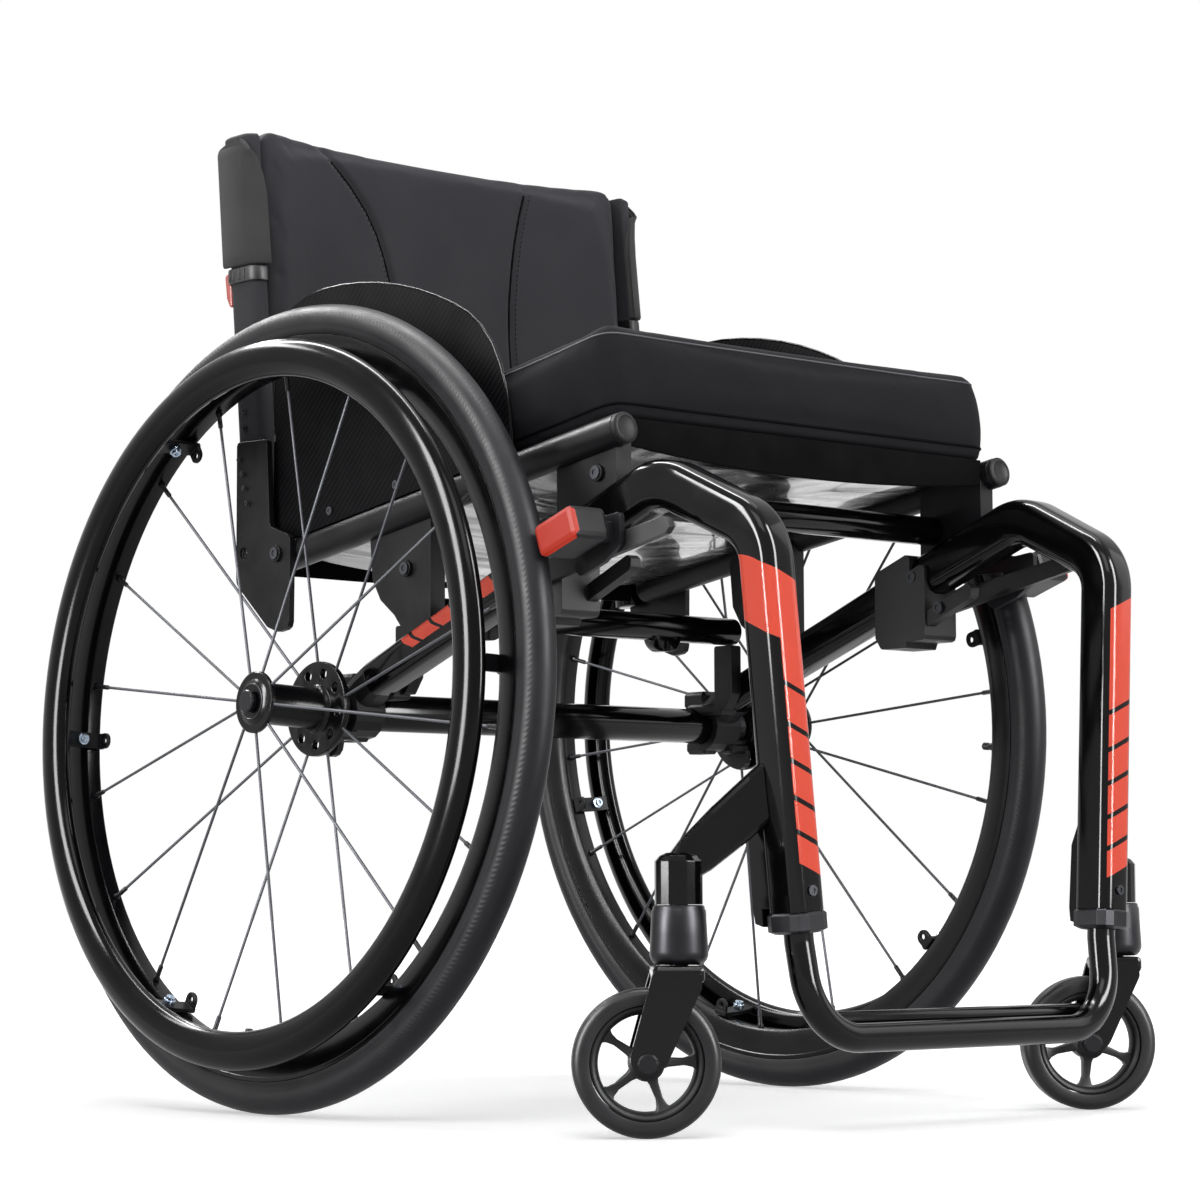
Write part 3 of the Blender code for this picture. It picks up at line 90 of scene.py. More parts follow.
def linear(code: str) -> tuple[float, float, float, float]:
    """Turn an sRGB hex value into a linear colour.

    Args:
        code: Six hex digits, with or without a leading hash.

    Returns:
        Linear red, green, blue and an alpha of one.
    """
    digits = code.lstrip("#")
    values = [int(digits[k:k + 2], 16) / 255 for k in (0, 2, 4)]
    turned = [v / 12.92 if v <= 0.04045 else ((v + 0.055) / 1.055) ** 2.4 for v in values]
    return (*turned, 1.0)


def add_node(tree: Tree, kind: str, inputs: dict | None = None, **settings: object) -> Node:
    """Add a node, set its properties and fill or link its inputs.

    Args:
        tree: Node tree that gets the node.
        kind: The node's type name.
        inputs: Input name or number to a value, or to the socket that feeds it.
        settings: Properties of the node.

    Returns:
        The new node.
    """
    made = tree.nodes.new(kind)
    for name, value in settings.items():
        setattr(made, name, value)
    for key, value in (inputs or {}).items():
        socket = made.inputs[key]
        if isinstance(value, Socket):
            tree.links.new(value, socket)
        else:
            socket.default_value = value
    return made


def calc(tree: Tree, operation: str, *values: float | Socket) -> Socket:
    """Result of a math node on values, or on the sockets that feed it."""
    return add_node(tree, "ShaderNodeMath", dict(enumerate(values)), operation=operation).outputs[0]


def empty_tree(holder: bpy.types.Material | bpy.types.World) -> Tree:
    """The cleared node tree of a material or a world.

    Args:
        holder: The material or world.

    Returns:
        The tree.
    """
    holder.use_nodes = True
    holder.node_tree.nodes.clear()
    return holder.node_tree


# ---- finishes


@dataclass(frozen=True)
class Canvas:
    """One material's tree and coordinates, with the nodes that finishes share."""

    tree: Tree
    place: Node

    def calc(self, operation: str, *values: float | Socket) -> Socket:
        """Result of a math node."""
        return calc(self.tree, operation, *values)

    def parts(self, output: str) -> tuple[Socket, ...]:
        """X, Y and Z of one of the coordinates."""
        return tuple(add_node(self.tree, "ShaderNodeSeparateXYZ", {0: self.place.outputs[output]}).outputs)

    def cloud(self, size_mm: float, detail: float) -> Socket:
        """Noise whose features have a size."""
        return add_node(self.tree, "ShaderNodeTexNoise", {
            "Vector": self.place.outputs["Object"], "Scale": 1000 / size_mm, "Detail": detail}).outputs[0]

    def blend(self, share: Socket, low: tuple | Socket, high: tuple) -> Socket:
        """Colour that runs from low to high with the share."""
        return add_node(self.tree, "ShaderNodeMix", {0: share, "A": low, "B": high},
                        data_type="RGBA").outputs["Result"]

    def relief(self, height: Socket, strength: float, depth: float, under: Socket | None = None) -> Socket:
        """Bump of a depth in metres, laid over another normal where one is given.

        Args:
            height: Height of the relief, from 0 to 1.
            strength: Strength of the bump.
            depth: Depth of the relief in metres.
            under: The normal that it lies over.

        Returns:
            The normal's socket.
        """
        inputs = {"Height": height, "Strength": strength, "Distance": depth}
        if under is not None:
            inputs["Normal"] = under
        return add_node(self.tree, "ShaderNodeBump", inputs).outputs[0]


@dataclass(frozen=True)
class Finish:
    """A surface with two close shades, a roughness that varies and a fine bump.

    Its colour, roughness and bump each take the material's canvas and return the socket
    that feeds the shader. Finishes with a pattern of their own replace one of them.
    """

    name: str
    dark: str
    pale: str
    rough_low: float
    rough_high: float
    metallic: float = 0.0
    mottle_mm: float = 40.0
    grain_mm: float = 1.0
    grain_strength: float = 0.1
    grain_depth_mm: float = 0.05
    specular: float = 0.5
    coat: float = 0.0
    coat_roughness: float = 0.05
    sheen: float = 0.0
    sheen_roughness: float = 0.4
    edge_mm: float = 0.0

    def colour(self, canvas: Canvas) -> Socket:
        """Mottled base colour between the two shades."""
        return canvas.blend(canvas.cloud(self.mottle_mm, 4.0), linear(self.dark), linear(self.pale))

    def roughness(self, canvas: Canvas) -> Socket:
        """Roughness that wanders between its two ends.

        Args:
            canvas: The material's canvas.

        Returns:
            The roughness's socket.
        """
        return add_node(canvas.tree, "ShaderNodeMapRange", {
            "Value": canvas.cloud(self.mottle_mm * 0.6, 6.0), "From Min": 0.3, "From Max": 0.7,
            "To Min": self.rough_low, "To Max": self.rough_high}).outputs[0]

    def bump(self, canvas: Canvas) -> Socket:
        """Fine grain of the surface, over softened edges where the finish has them.

        Args:
            canvas: The material's canvas.

        Returns:
            The normal's socket.
        """
        edge = None
        if self.edge_mm:
            edge = add_node(canvas.tree, "ShaderNodeBevel", {"Radius": self.edge_mm / 1000},
                            samples=4).outputs[0]
        return canvas.relief(canvas.cloud(self.grain_mm, 2.0), self.grain_strength,
                             self.grain_depth_mm / 1000, edge)

    def build(self) -> bpy.types.Material:
        """Make the whole material.

        Returns:
            The material.
        """
        material = bpy.data.materials.new(self.name)
        tree = empty_tree(material)
        canvas = Canvas(tree, add_node(tree, "ShaderNodeTexCoord"))
        shader = add_node(tree, "ShaderNodeBsdfPrincipled", {
            "Metallic": self.metallic, "Specular IOR Level": self.specular,
            "Coat Weight": self.coat, "Coat Roughness": self.coat_roughness,
            "Sheen Weight": self.sheen, "Sheen Roughness": self.sheen_roughness,
            "Base Color": self.colour(canvas), "Roughness": self.roughness(canvas),
            "Normal": self.bump(canvas)})
        add_node(tree, "ShaderNodeOutputMaterial", {"Surface": shader.outputs[0]})
        return material


@dataclass(frozen=True)
class Stripes:
    """A coral band with a slashed strip that runs on from it, on the side tube's map.

    Heights are levels along the tube, seen along the slant of the slashes, in metres.
    """

    u_zero: float
    slant: float
    wrap: tuple[float, float, float, float]
    strip: tuple[float, float, float, float]
    slashes: tuple[float, ...]
    slash_half: float = 0.0018

    def mask(self, canvas: Canvas, u: Socket, v: Socket) -> Socket:
        """One where the coral lies.

        Args:
            canvas: The material's canvas.
            u: Metres round the tube.
            v: Metres along it.

        Returns:
            The mask's socket.
        """
        level = canvas.calc("MULTIPLY_ADD", canvas.calc("SUBTRACT", self.u_zero, u), -self.slant, v)

        def between(value: Socket, low: float, high: float) -> Socket:
            """One where a value lies from low to high."""
            return canvas.calc("COMPARE", value, (low + high) / 2, (high - low) / 2)

        wrap, strip = (canvas.calc("MULTIPLY", between(u, *area[:2]), between(level, *area[2:]))
                       for area in (self.wrap, self.strip))
        for height in self.slashes:
            gap = between(level, height - self.slash_half, height + self.slash_half)
            strip = canvas.calc("MULTIPLY", strip, canvas.calc("SUBTRACT", 1.0, gap))
        return canvas.calc("MAXIMUM", wrap, strip)


@dataclass(frozen=True)
class BandedLacquer(Finish):
    """Gloss lacquer of the side tubes with the coral bands baked under its clear coat.

    The tube's map holds metres round the tube in U, from the middle of its outer side
    toward the front, and along its middle line in V, up from the lower end of the leg.
    """

    coral: str = "ff5e48"
    tube_length: float = TUBE_LENGTH
    leg: Stripes = Stripes(0.02635, 0.50, (-0.0165, 0.0381, 0.1726, 0.2186),
                           (0.0175, 0.0381, 0.0270, 0.2186), (0.1438, 0.1173, 0.0935, 0.0696, 0.0474))
    beam: Stripes = Stripes(0.0, 0.73, (-0.0120, 0.0150, 0.2165, 0.2678),
                            (-0.0035, 0.0140, 0.0560, 0.2678),
                            (0.1877, 0.1636, 0.1395, 0.1154, 0.0913, 0.0672))

    def colour(self, canvas: Canvas) -> Socket:
        """Black lacquer with the two coral bands.

        Args:
            canvas: The material's canvas.

        Returns:
            The colour's socket.
        """
        u, v, _ = canvas.parts("UV")
        run = canvas.calc("SUBTRACT", self.tube_length, v)
        mask = canvas.calc("MAXIMUM", self.leg.mask(canvas, u, v), self.beam.mask(canvas, u, run))
        return canvas.blend(mask, super().colour(canvas), linear(self.coral))


@dataclass(frozen=True)
class SplitFinish(Finish):
    """Dark plate whose outward face, past a distance from the chair's middle, is coral."""

    coral: str = "e0402c"
    past: float = 0.2104
    least_facing: float = 0.3

    def colour(self, canvas: Canvas) -> Socket:
        """The plate's colour with the coral part.

        Args:
            canvas: The material's canvas.

        Returns:
            The colour's socket.
        """
        across = canvas.parts("Object")[0]
        beyond = canvas.calc("GREATER_THAN", canvas.calc("ABSOLUTE", across), self.past)
        outward = canvas.calc("MULTIPLY", canvas.parts("Normal")[0], canvas.calc("SIGN", across))
        shoe = canvas.calc("MULTIPLY", beyond, canvas.calc("GREATER_THAN", outward, self.least_facing))
        return canvas.blend(shoe, super().colour(canvas), linear(self.coral))


@dataclass(frozen=True)
class TyreRubber(Finish):
    """Grey-black rubber with a fine file tread and a knurled ring on each side wall.

    The tyre's map holds metres round the tyre in U and across its section in V, from the
    middle of the tread.
    """

    rib_pitch_mm: float = 4.0
    rib_slant: float = 0.6
    ring_v_mm: float = 15.0
    ring_half_mm: float = 2.0
    tread_half_mm: float = 7.5
    tread_share: float = 0.35
    rib_depth_mm: float = 0.18
    rib_strength: float = 0.25

    def bump(self, canvas: Canvas) -> Socket:
        """Fine mould grain with slanted tread grooves and the knurled rings.

        Args:
            canvas: The material's canvas.

        Returns:
            The normal's socket.
        """
        u, v, _ = canvas.parts("UV")
        span = canvas.calc("ABSOLUTE", v)
        slanted = canvas.calc("MULTIPLY_ADD", span, self.rib_slant, u)
        rib = canvas.calc("SINE", canvas.calc("MULTIPLY", slanted, 2000 * math.pi / self.rib_pitch_mm))
        ring = canvas.calc("COMPARE", span, self.ring_v_mm / 1000, self.ring_half_mm / 1000)
        tread = canvas.calc("GREATER_THAN", self.tread_half_mm / 1000, span)
        where = canvas.calc("MAXIMUM", ring, canvas.calc("MULTIPLY", tread, self.tread_share))
        return canvas.relief(canvas.calc("MULTIPLY", rib, where), self.rib_strength,
                             self.rib_depth_mm / 1000, super().bump(canvas))


@dataclass(frozen=True)
class KnitCover(Finish):
    """Knitted spacer fabric: small round cells in rows, with a soft sheen."""

    cell_mm: float = 1.6

    def bump(self, canvas: Canvas) -> Socket:
        """Rows of knitted cells.

        Args:
            canvas: The material's canvas.

        Returns:
            The normal's socket.
        """
        cells = add_node(canvas.tree, "ShaderNodeTexVoronoi", {
            "Vector": canvas.place.outputs["Object"], "Scale": 1000 / self.cell_mm, "Randomness": 0.35})
        return canvas.relief(cells.outputs["Distance"], self.grain_strength, self.grain_depth_mm / 1000)


@dataclass(frozen=True)
class TwillLaminate(Finish):
    """Carbon laminate: diagonal twill of woven tows under a clear resin coat."""

    tow_mm: float = 3.0
    cross_share: float = 0.35

    def colour(self, canvas: Canvas) -> Socket:
        """Dark and paler tows in diagonal steps.

        Args:
            canvas: The material's canvas.

        Returns:
            The colour's socket.
        """
        _, deep, tall = canvas.parts("Object")
        rate = 2000 * math.pi / (self.tow_mm * 2)
        wave, cross = (canvas.calc("SINE", canvas.calc("MULTIPLY", canvas.calc(way, deep, tall), speed))
                       for way, speed in (("ADD", rate), ("SUBTRACT", rate * 2.0)))
        weave = canvas.calc("MULTIPLY_ADD", cross, self.cross_share, wave)
        share = add_node(canvas.tree, "ShaderNodeMapRange", {"Value": weave, "From Min": -0.6,
                                                             "From Max": 0.9})
        return canvas.blend(share.outputs[0], linear(self.dark), linear(self.pale))


@dataclass(frozen=True)
class CoatedSling(Finish):
    """Coated sling cloth: a smooth, slightly silvery film pulled into long shallow creases."""

    crease_mm: float = 60.0
    crease_depth_mm: float = 10.0

    def bump(self, canvas: Canvas) -> Socket:
        """Long creases between the rails over a fine weave.

        Args:
            canvas: The material's canvas.

        Returns:
            The normal's socket.
        """
        stretch = add_node(canvas.tree, "ShaderNodeMapping", {
            "Vector": canvas.place.outputs["Object"], "Rotation": (0, 0, 0.5), "Scale": (0.35, 1.3, 1.0)})
        folds = add_node(canvas.tree, "ShaderNodeTexNoise", {
            "Vector": stretch.outputs[0], "Scale": 1000 / self.crease_mm, "Detail": 1.5,
            "Distortion": 1.2})
        return canvas.relief(folds.outputs[0], 0.8, self.crease_depth_mm / 1000, super().bump(canvas))


# Stove-enamelled tube: deep gloss black, faint orange peel, a hard clear reflection.
LACQUER = dict(dark="070708", pale="0b0b0d", rough_low=0.09, rough_high=0.15, specular=0.17, grain_mm=2.2,
               grain_strength=0.05, grain_depth_mm=0.02)
FINISHES = {finish.name: finish for finish in (
    Finish("frame_lacquer", edge_mm=0.8, **LACQUER),
    BandedLacquer("banded_lacquer", **LACQUER),
    # Electro-coated brackets: satin black with a thin paler bloom.
    Finish("bracket_coat", "111113", "1a1a1d", 0.34, 0.46, specular=0.12, grain_mm=0.8,
           grain_strength=0.12, edge_mm=0.8),
    # Anodised hand rim: black film over polished aluminium, so its gloss is high and even.
    Finish("handrim_anodised", "040405", "070709", 0.12, 0.18, specular=0.11, grain_mm=3.0,
           grain_strength=0.03),
    # Anodised rim and hub: black, a little duller, with a faint turned grain.
    Finish("rim_anodised", "060608", "0c0c0f", 0.18, 0.28, specular=0.15, grain_mm=0.7,
           grain_strength=0.05, edge_mm=0.4),
    # Tyre compound: grey-black rubber with a low sheen that widens every highlight.
    TyreRubber("tyre_rubber", "1b1b1f", "242428", 0.40, 0.52, specular=0.14, grain_mm=0.6,
               grain_strength=0.1),
    # Caster tread: cast polyurethane, smoother and darker than the tyre.
    Finish("caster_polyurethane", "151517", "1e1e21", 0.35, 0.5, specular=0.25, grain_mm=0.8,
           grain_strength=0.08),
    # Drawn stainless spokes: dull grey wire that stays a dark line without a glint.
    Finish("spoke_steel", "38393c", "4a4b4f", 0.55, 0.68, metallic=0.7, specular=0.2, grain_mm=0.5,
           grain_strength=0.02),
    # Zinc-plated fasteners: bright with a cold blue tint.
    Finish("plated_steel", "8d9bab", "b6c2cf", 0.18, 0.32, metallic=1.0, grain_mm=0.6,
           grain_strength=0.05),
    # Black-oxide fasteners: dark steel with a thin oiled shine.
    Finish("black_oxide", "2c2d30", "3c3d41", 0.3, 0.42, metallic=0.8, grain_mm=0.6,
           grain_strength=0.05),
    # Anodised collars, cups and axle ends: dark grey with a soft metallic light on the edges.
    Finish("grey_anodised", "19191c", "232327", 0.30, 0.42, metallic=0.4, specular=0.2, grain_mm=0.7,
           grain_strength=0.08, edge_mm=0.6),
    # Turned alloy bushings: bare metal that shows as a pale ring.
    Finish("bushing_alloy", "77787c", "929397", 0.24, 0.36, metallic=1.0, grain_mm=0.7,
           grain_strength=0.05, edge_mm=0.5),
    # Glass-filled nylon mouldings: matt black with a spark-eroded grain.
    Finish("moulded_nylon", "111113", "19191b", 0.42, 0.58, specular=0.25, grain_mm=0.5,
           grain_strength=0.25, edge_mm=0.8),
    # Rail plugs: the same nylon in grey, worn paler by hands.
    Finish("grey_nylon", "1c1c1d", "272728", 0.45, 0.6, specular=0.10, grain_mm=0.5,
           grain_strength=0.25, edge_mm=0.5),
    # Anodised link plate of the brake: satin dark grey, with the shoe's coral outer face.
    SplitFinish("brake_link", "1c1c1e", "28282b", 0.34, 0.46, specular=0.12, grain_mm=0.5,
                grain_strength=0.08, edge_mm=0.8),
    # Knitted spacer fabric of back and post sleeves: matt charcoal with small shaded cells, paler than the
    # cushion's copy: painted light where the back faces the lamps.
    KnitCover("spacer_knit", "343338", "3c3b40", 0.85, 0.95, specular=0.1, grain_strength=0.35,
              grain_depth_mm=0.25, sheen=0.06, mottle_mm=90.0),
    # The cushion's cover: the same knit as the back's, in a darker copy that paints in shade, so that its
    # painted edge highlight stands out.
    KnitCover("knit_painted_shade", "1c1b1f", "242328", 0.85, 0.95, specular=0.05, grain_strength=0.35,
              grain_depth_mm=0.25, sheen=0.05, mottle_mm=90.0),
    # Pale cord along the cushion's upper edge: a painted highlight, a lighter grey standing in for the light
    # that the rounded edge catches.
    Finish("edge_tape", "4c4c50", "5a5a5e", 0.6, 0.75, specular=0.2, grain_mm=0.9, grain_strength=0.3,
           grain_depth_mm=0.1, sheen=0.1),
    # Brushed nylon of the back's side strips: a matt grey, paler than the knit beside it, partly its own tone
    # and partly painted light where the strip faces the lamp on the left.
    KnitCover("nylon_tone_and_painted_light", "3f3f40", "484849", 0.8, 0.92, specular=0.1, grain_strength=0.25,
              grain_depth_mm=0.2, sheen=0.08, mottle_mm=60.0, cell_mm=1.2),
    # Webbing that binds edges and seams: the blackest cloth, which draws thin dark lines.
    Finish("edge_webbing", "070708", "0d0d0f", 0.7, 0.85, specular=0.02, grain_mm=0.9,
           grain_strength=0.3, grain_depth_mm=0.1),
    # Coated nylon of the sling: a wet-looking film over black cloth.
    CoatedSling("sling_film", "141416", "1e1e21", 0.2, 0.3, grain_mm=1.1, grain_strength=0.05,
                coat=0.7, coat_roughness=0.06),
    # Carbon laminate of the guards: twill tows that show as fine slanted lines under resin.
    TwillLaminate("twill_laminate", "040405", "17171b", 0.40, 0.52, specular=0.03, grain_mm=1.0,
                  grain_strength=0.05),
    # Coral plastic of the pull tabs: a warm, even colour with a dull shine.
    Finish("coral_plastic", "d8453a", "e8584a", 0.35, 0.5, grain_mm=0.8, grain_strength=0.1,
           edge_mm=0.5),
)}
MATERIALS: dict[str, bpy.types.Material] = {}


def finish_of(name: str) -> bpy.types.Material:
    """The material of a named finish, made when it is first asked for.

    Args:
        name: The finish's name.

    Returns:
        The material.
    """
    if name not in MATERIALS:
        MATERIALS[name] = FINISHES[name].build()
    return MATERIALS[name]


# ---- shapes


def dress(name: str, data: Mesh, finish: str, body: str, slot: str,
          replaces: tuple[str, ...] = (), sharp_deg: float = 40.0) -> Object:
    """Turn finished mesh data into a piece that rides on its body.

    Args:
        name: The piece's name.
        data: Its mesh, with Y in the axle's frame.
        finish: The name of its finish.
        body: The body that it rides on.
        slot: The record's material slot; not used.
        replaces: CAD nodes that it stands for.
        sharp_deg: Angle past which an edge stays sharp.

    Returns:
        The piece.
    """
    data.transform(Matrix.Translation((0, AXLE_Y, 0)))
    data.name = name
    data.materials.clear()
    data.materials.append(finish_of(finish))
    data.shade_smooth()
    data.set_sharp_from_angle(angle=math.radians(sharp_deg))
    piece = linked(name, data)
    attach(piece, body)
    if replaces:
        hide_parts(*replaces)
    LOG.info("%s: %d faces on %s", name, len(data.polygons), body)
    return piece


def linked(name: str, data: bpy.types.ID) -> Object:
    """A new object of some data, linked to the scene.

    Args:
        name: The object's name.
        data: Its data.

    Returns:
        The object.
    """
    made = bpy.data.objects.new(name, data)
    bpy.context.scene.collection.objects.link(made)
    return made


def evaluated(holder: Object) -> Mesh:
    """The mesh that an object's modifiers give, which are then cleared.

    Args:
        holder: The object.

    Returns:
        The mesh.
    """
    graph = bpy.context.evaluated_depsgraph_get()
    data = bpy.data.meshes.new_from_object(holder.evaluated_get(graph))
    holder.modifiers.clear()
    return data


def dress_both(body: str, made: dict[str, tuple]) -> dict[str, Object]:
    """Dress left pieces, and their mirror images on the right.

    Args:
        body: The body that they ride on.
        made: A piece's name to its left shape, finish, slot, CAD nodes and sharp angle.

    Returns:
        The pieces, by name.
    """
    pieces = {}
    for side in Side:
        for stem, (shape, finish, slot, nodes, sharp) in made.items():
            name = f"{stem}_{side.label}"
            data = shape.copy() if side is Side.LEFT else mirrored(shape)
            pieces[name] = dress(name, data, finish, body, slot,
                                 tuple(f"{node}_{side.label}" for node in nodes), sharp)
    return pieces


def close(bm: bmesh.types.BMesh, name: str = "shape") -> Mesh:
    """Weld a bmesh, turn its faces outward and store it.

    Args:
        bm: The bmesh, which is freed.
        name: The mesh's name.

    Returns:
        The mesh.
    """
    bmesh.ops.remove_doubles(bm, verts=bm.verts, dist=1e-6)
    bmesh.ops.recalc_face_normals(bm, faces=bm.faces)
    data = bpy.data.meshes.new(name)
    bm.to_mesh(data)
    bm.free()
    return data


def merged(shapes: list[Mesh]) -> Mesh:
    """Put several meshes into one.

    Args:
        shapes: The meshes.

    Returns:
        The mesh.
    """
    bm = bmesh.new()
    for shape in shapes:
        bm.from_mesh(shape)
    data = bpy.data.meshes.new("merged")
    bm.to_mesh(data)
    bm.free()
    return data


def mirrored(data: Mesh) -> Mesh:
    """The same shape on the chair's other side, with its faces outward.

    Args:
        data: The shape.

    Returns:
        The mirror image.
    """
    copy = data.copy()
    copy.transform(Matrix.Scale(-1.0, 4, Vector((1, 0, 0))))
    copy.flip_normals()
    return copy


def axis_frame(origin: Vector, direction: Vector, up: Vector = Vector((0, 0, 1))) -> Matrix:
    """Matrix whose local Z runs along direction and whose local X lies toward up.

    Args:
        origin: Where the frame stands.
        direction: Its local Z.
        up: What its local X leans toward.

    Returns:
        The matrix.
    """
    z = Vector(direction).normalized()
    if abs(z.dot(up)) > 0.99:
        up = Vector((1, 0, 0))
    x = (up - z * z.dot(up)).normalized()
    matrix = Matrix((x, z.cross(x), z)).transposed().to_4x4()
    matrix.translation = Vector(origin)
    return matrix


def side_plane(x: float) -> Matrix:
    """Frame of a plate that stands along the chair at x: its own X runs back and its Y up."""
    return Matrix(((0, 0, 1, x), (1, 0, 0, 0), (0, 1, 0, 0), (0, 0, 0, 1)))


def skin(rings: list[list[Vector]], around: list[float] | None = None, along: list[float] | None = None,
         ring_closed: bool = True, loop_closed: bool = False, caps: bool = True) -> Mesh:
    """Skin over rings of equal point count, with a map in metres.

    Args:
        rings: Rings of points.
        around: U of each point of a ring, and of the point that closes it, or none for zero.
        along: V of each ring, and of the ring that closes the loop, or none for zero.
        ring_closed: Whether each ring closes on itself.
        loop_closed: Whether the last ring joins the first.
        caps: Whether an open row of rings gets end faces.

    Returns:
        The mesh.
    """
    bm = bmesh.new()
    layer = bm.loops.layers.uv.new("map")
    loops = [[bm.verts.new(point) for point in ring] for ring in rings]
    count, rows = len(loops[0]), len(loops)
    around, along = around or [0.0] * (count + 1), along or [0.0] * (rows + 1)
    for j in range(rows if loop_closed else rows - 1):
        nj = (j + 1) % rows
        for k in range(count if ring_closed else count - 1):
            nk = (k + 1) % count
            face = bm.faces.new((loops[j][k], loops[j][nk], loops[nj][nk], loops[nj][k]))
            spots = ((k, j), (k + 1, j), (k + 1, j + 1), (k, j + 1))
            for corner, (a, b) in zip(face.loops, spots):
                corner[layer].uv = (around[a], along[b])
    if caps and not loop_closed:
        bm.faces.new(list(reversed(loops[0])))
        bm.faces.new(loops[-1])
    return close(bm)


def lathe(profile: Outline, steps: int, place: Matrix, middle: float = 0.0) -> Mesh:
    """Turn a section of (height, radius) points about the frame's Z.

    Args:
        profile: Closed section, or an open one whose ends lie on the axis.
        steps: Number of steps round.
        place: Where the turned piece stands.
        middle: Length along the section at which the map's V is zero.

    Returns:
        The mesh.
    """
    open_ends = profile[0][1] == 0.0 and profile[-1][1] == 0.0
    run = [0.0]
    closing = profile if open_ends else profile + [profile[0]]
    for (h0, r0), (h1, r1) in zip(closing, closing[1:]):
        run.append(run[-1] + math.hypot(h1 - h0, r1 - r0))
    largest = max(r for _, r in profile)
    rings, along = [], []
    for k in range(steps):
        angle = 2 * math.pi * k / steps
        rings.append([place @ Vector((r * math.cos(angle), r * math.sin(angle), h)) for h, r in profile])
        along.append(angle * largest)
    along.append(2 * math.pi * largest)
    data = skin(rings, [v - middle for v in run], along, ring_closed=not open_ends, loop_closed=True)
    for spot in data.uv_layers[0].uv:
        spot.vector = (spot.vector[1], spot.vector[0])
    return data


def sweep(path: list[Vector], radius: float, sides: int = 20, closed: bool = False) -> Mesh:
    """Round bar along a path.

    Args:
        path: Points of its middle line.
        radius: Its radius.
        sides: Sides of its section.
        closed: Whether the path closes on itself.

    Returns:
        The mesh.
    """
    rings, along = [], [0.0]
    count = len(path)
    normal = None
    for k, spot in enumerate(path):
        before = path[k - 1] if k or closed else spot
        after = path[(k + 1) % count] if k < count - 1 or closed else spot
        run = (after - before).normalized()
        if normal is None:
            normal = run.orthogonal().normalized()
        normal = (normal - run * run.dot(normal)).normalized()
        other = run.cross(normal)
        rings.append([spot + (normal * math.cos(a) + other * math.sin(a)) * radius
                      for a in (2 * math.pi * n / sides for n in range(sides))])
        along.append(along[-1] + (path[(k + 1) % count] - spot).length)
    around = [2 * math.pi * radius * n / sides for n in range(sides + 1)]
    return skin(rings, around, along, loop_closed=closed)


def rod(start: tuple, end: tuple, radius: float, dome: float = 0.0008, sides: int = 40) -> Mesh:
    """Round bar between two points, with broken edges.

    Args:
        start: Middle of one end.
        end: Middle of the other end.
        radius: Its radius.
        dome: Width of its broken edges.
        sides: Sides of its section.

    Returns:
        The mesh.
    """
    start, end = Vector(start), Vector(end)
    length = (end - start).length
    profile = [(0.0, 0.0), (0.0, radius - dome), (dome * 0.3, radius - dome * 0.3), (dome, radius),
               (length - dome, radius), (length - dome * 0.3, radius - dome * 0.3),
               (length, radius - dome), (length, 0.0)]
    return lathe(profile, sides, axis_frame(start, end - start))


def rounded(corners: list[Vector], radii: list[float], steps: int) -> list[Vector]:
    """Replace the corners of an open path by arcs.

    Args:
        corners: The path's points.
        radii: Radius of each inner corner.
        steps: Steps in each arc.

    Returns:
        The path with its arcs.
    """
    points = [Vector(corners[0])]
    for k in range(1, len(corners) - 1):
        before, here, after = (Vector(corners[k + d]) for d in (-1, 0, 1))
        into, away = (here - before).normalized(), (after - here).normalized()
        turn = into.angle(away)
        centre = here + (away - into).normalized() * radii[k - 1] / math.cos(turn / 2)
        spoke = here - into * radii[k - 1] * math.tan(turn / 2) - centre
        axis = into.cross(away)
        points += [centre + Matrix.Rotation(turn * n / steps, 3, axis) @ spoke for n in range(steps + 1)]
    points.append(Vector(corners[-1]))
    return points


def rounded_loop(corners: Outline, radii: list[float], steps: int) -> Outline:
    """Round the corners of a closed outline.

    Args:
        corners: Points of the outline.
        radii: Radius of each corner, or zero.
        steps: Steps in each arc.

    Returns:
        The rounded outline.
    """
    result = []
    count = len(corners)
    for k in range(count):
        here = corners[k]
        if radii[k] <= 0:
            result.append(here)
            continue
        near = [Vector((*corners[(k + d) % count], 0)) for d in (-1, 0, 1)]
        result += [(p.x, p.y) for p in rounded(near, [radii[k]], steps)[1:-1]]
    return result


def section(half_x: float, half_y: float, corner: float, steps: int) -> Outline:
    """Rounded rectangle, counter-clockwise from the upper end of its +X side.

    Args:
        half_x: Half its width.
        half_y: Half its height.
        corner: Radius of its corners.
        steps: Steps in each corner.

    Returns:
        Its points.
    """
    points = []
    for sx, sy, start in ((1, 1, 0), (-1, 1, 90), (-1, -1, 180), (1, -1, 270)):
        for n in range(steps + 1):
            angle = math.radians(start + 90 * n / steps)
            points.append((sx * (half_x - corner) + corner * math.cos(angle),
                           sy * (half_y - corner) + corner * math.sin(angle)))
    return points


def block(low: tuple, high: tuple, bevel: float, segments: int = 3) -> Mesh:
    """Box between two corners with rounded edges.

    Args:
        low: Its lowest corner.
        high: Its highest corner.
        bevel: Radius of its edges.
        segments: Steps in each edge.

    Returns:
        The mesh.
    """
    low, high = Vector(low), Vector(high)
    bm = bmesh.new()
    bmesh.ops.create_cube(bm, size=1.0, matrix=Matrix.Translation((low + high) / 2)
                          @ Matrix.Diagonal((*(high - low), 1.0)))
    bmesh.ops.bevel(bm, geom=list(bm.edges), offset=bevel, segments=segments, affect="EDGES", profile=0.5)
    return close(bm)


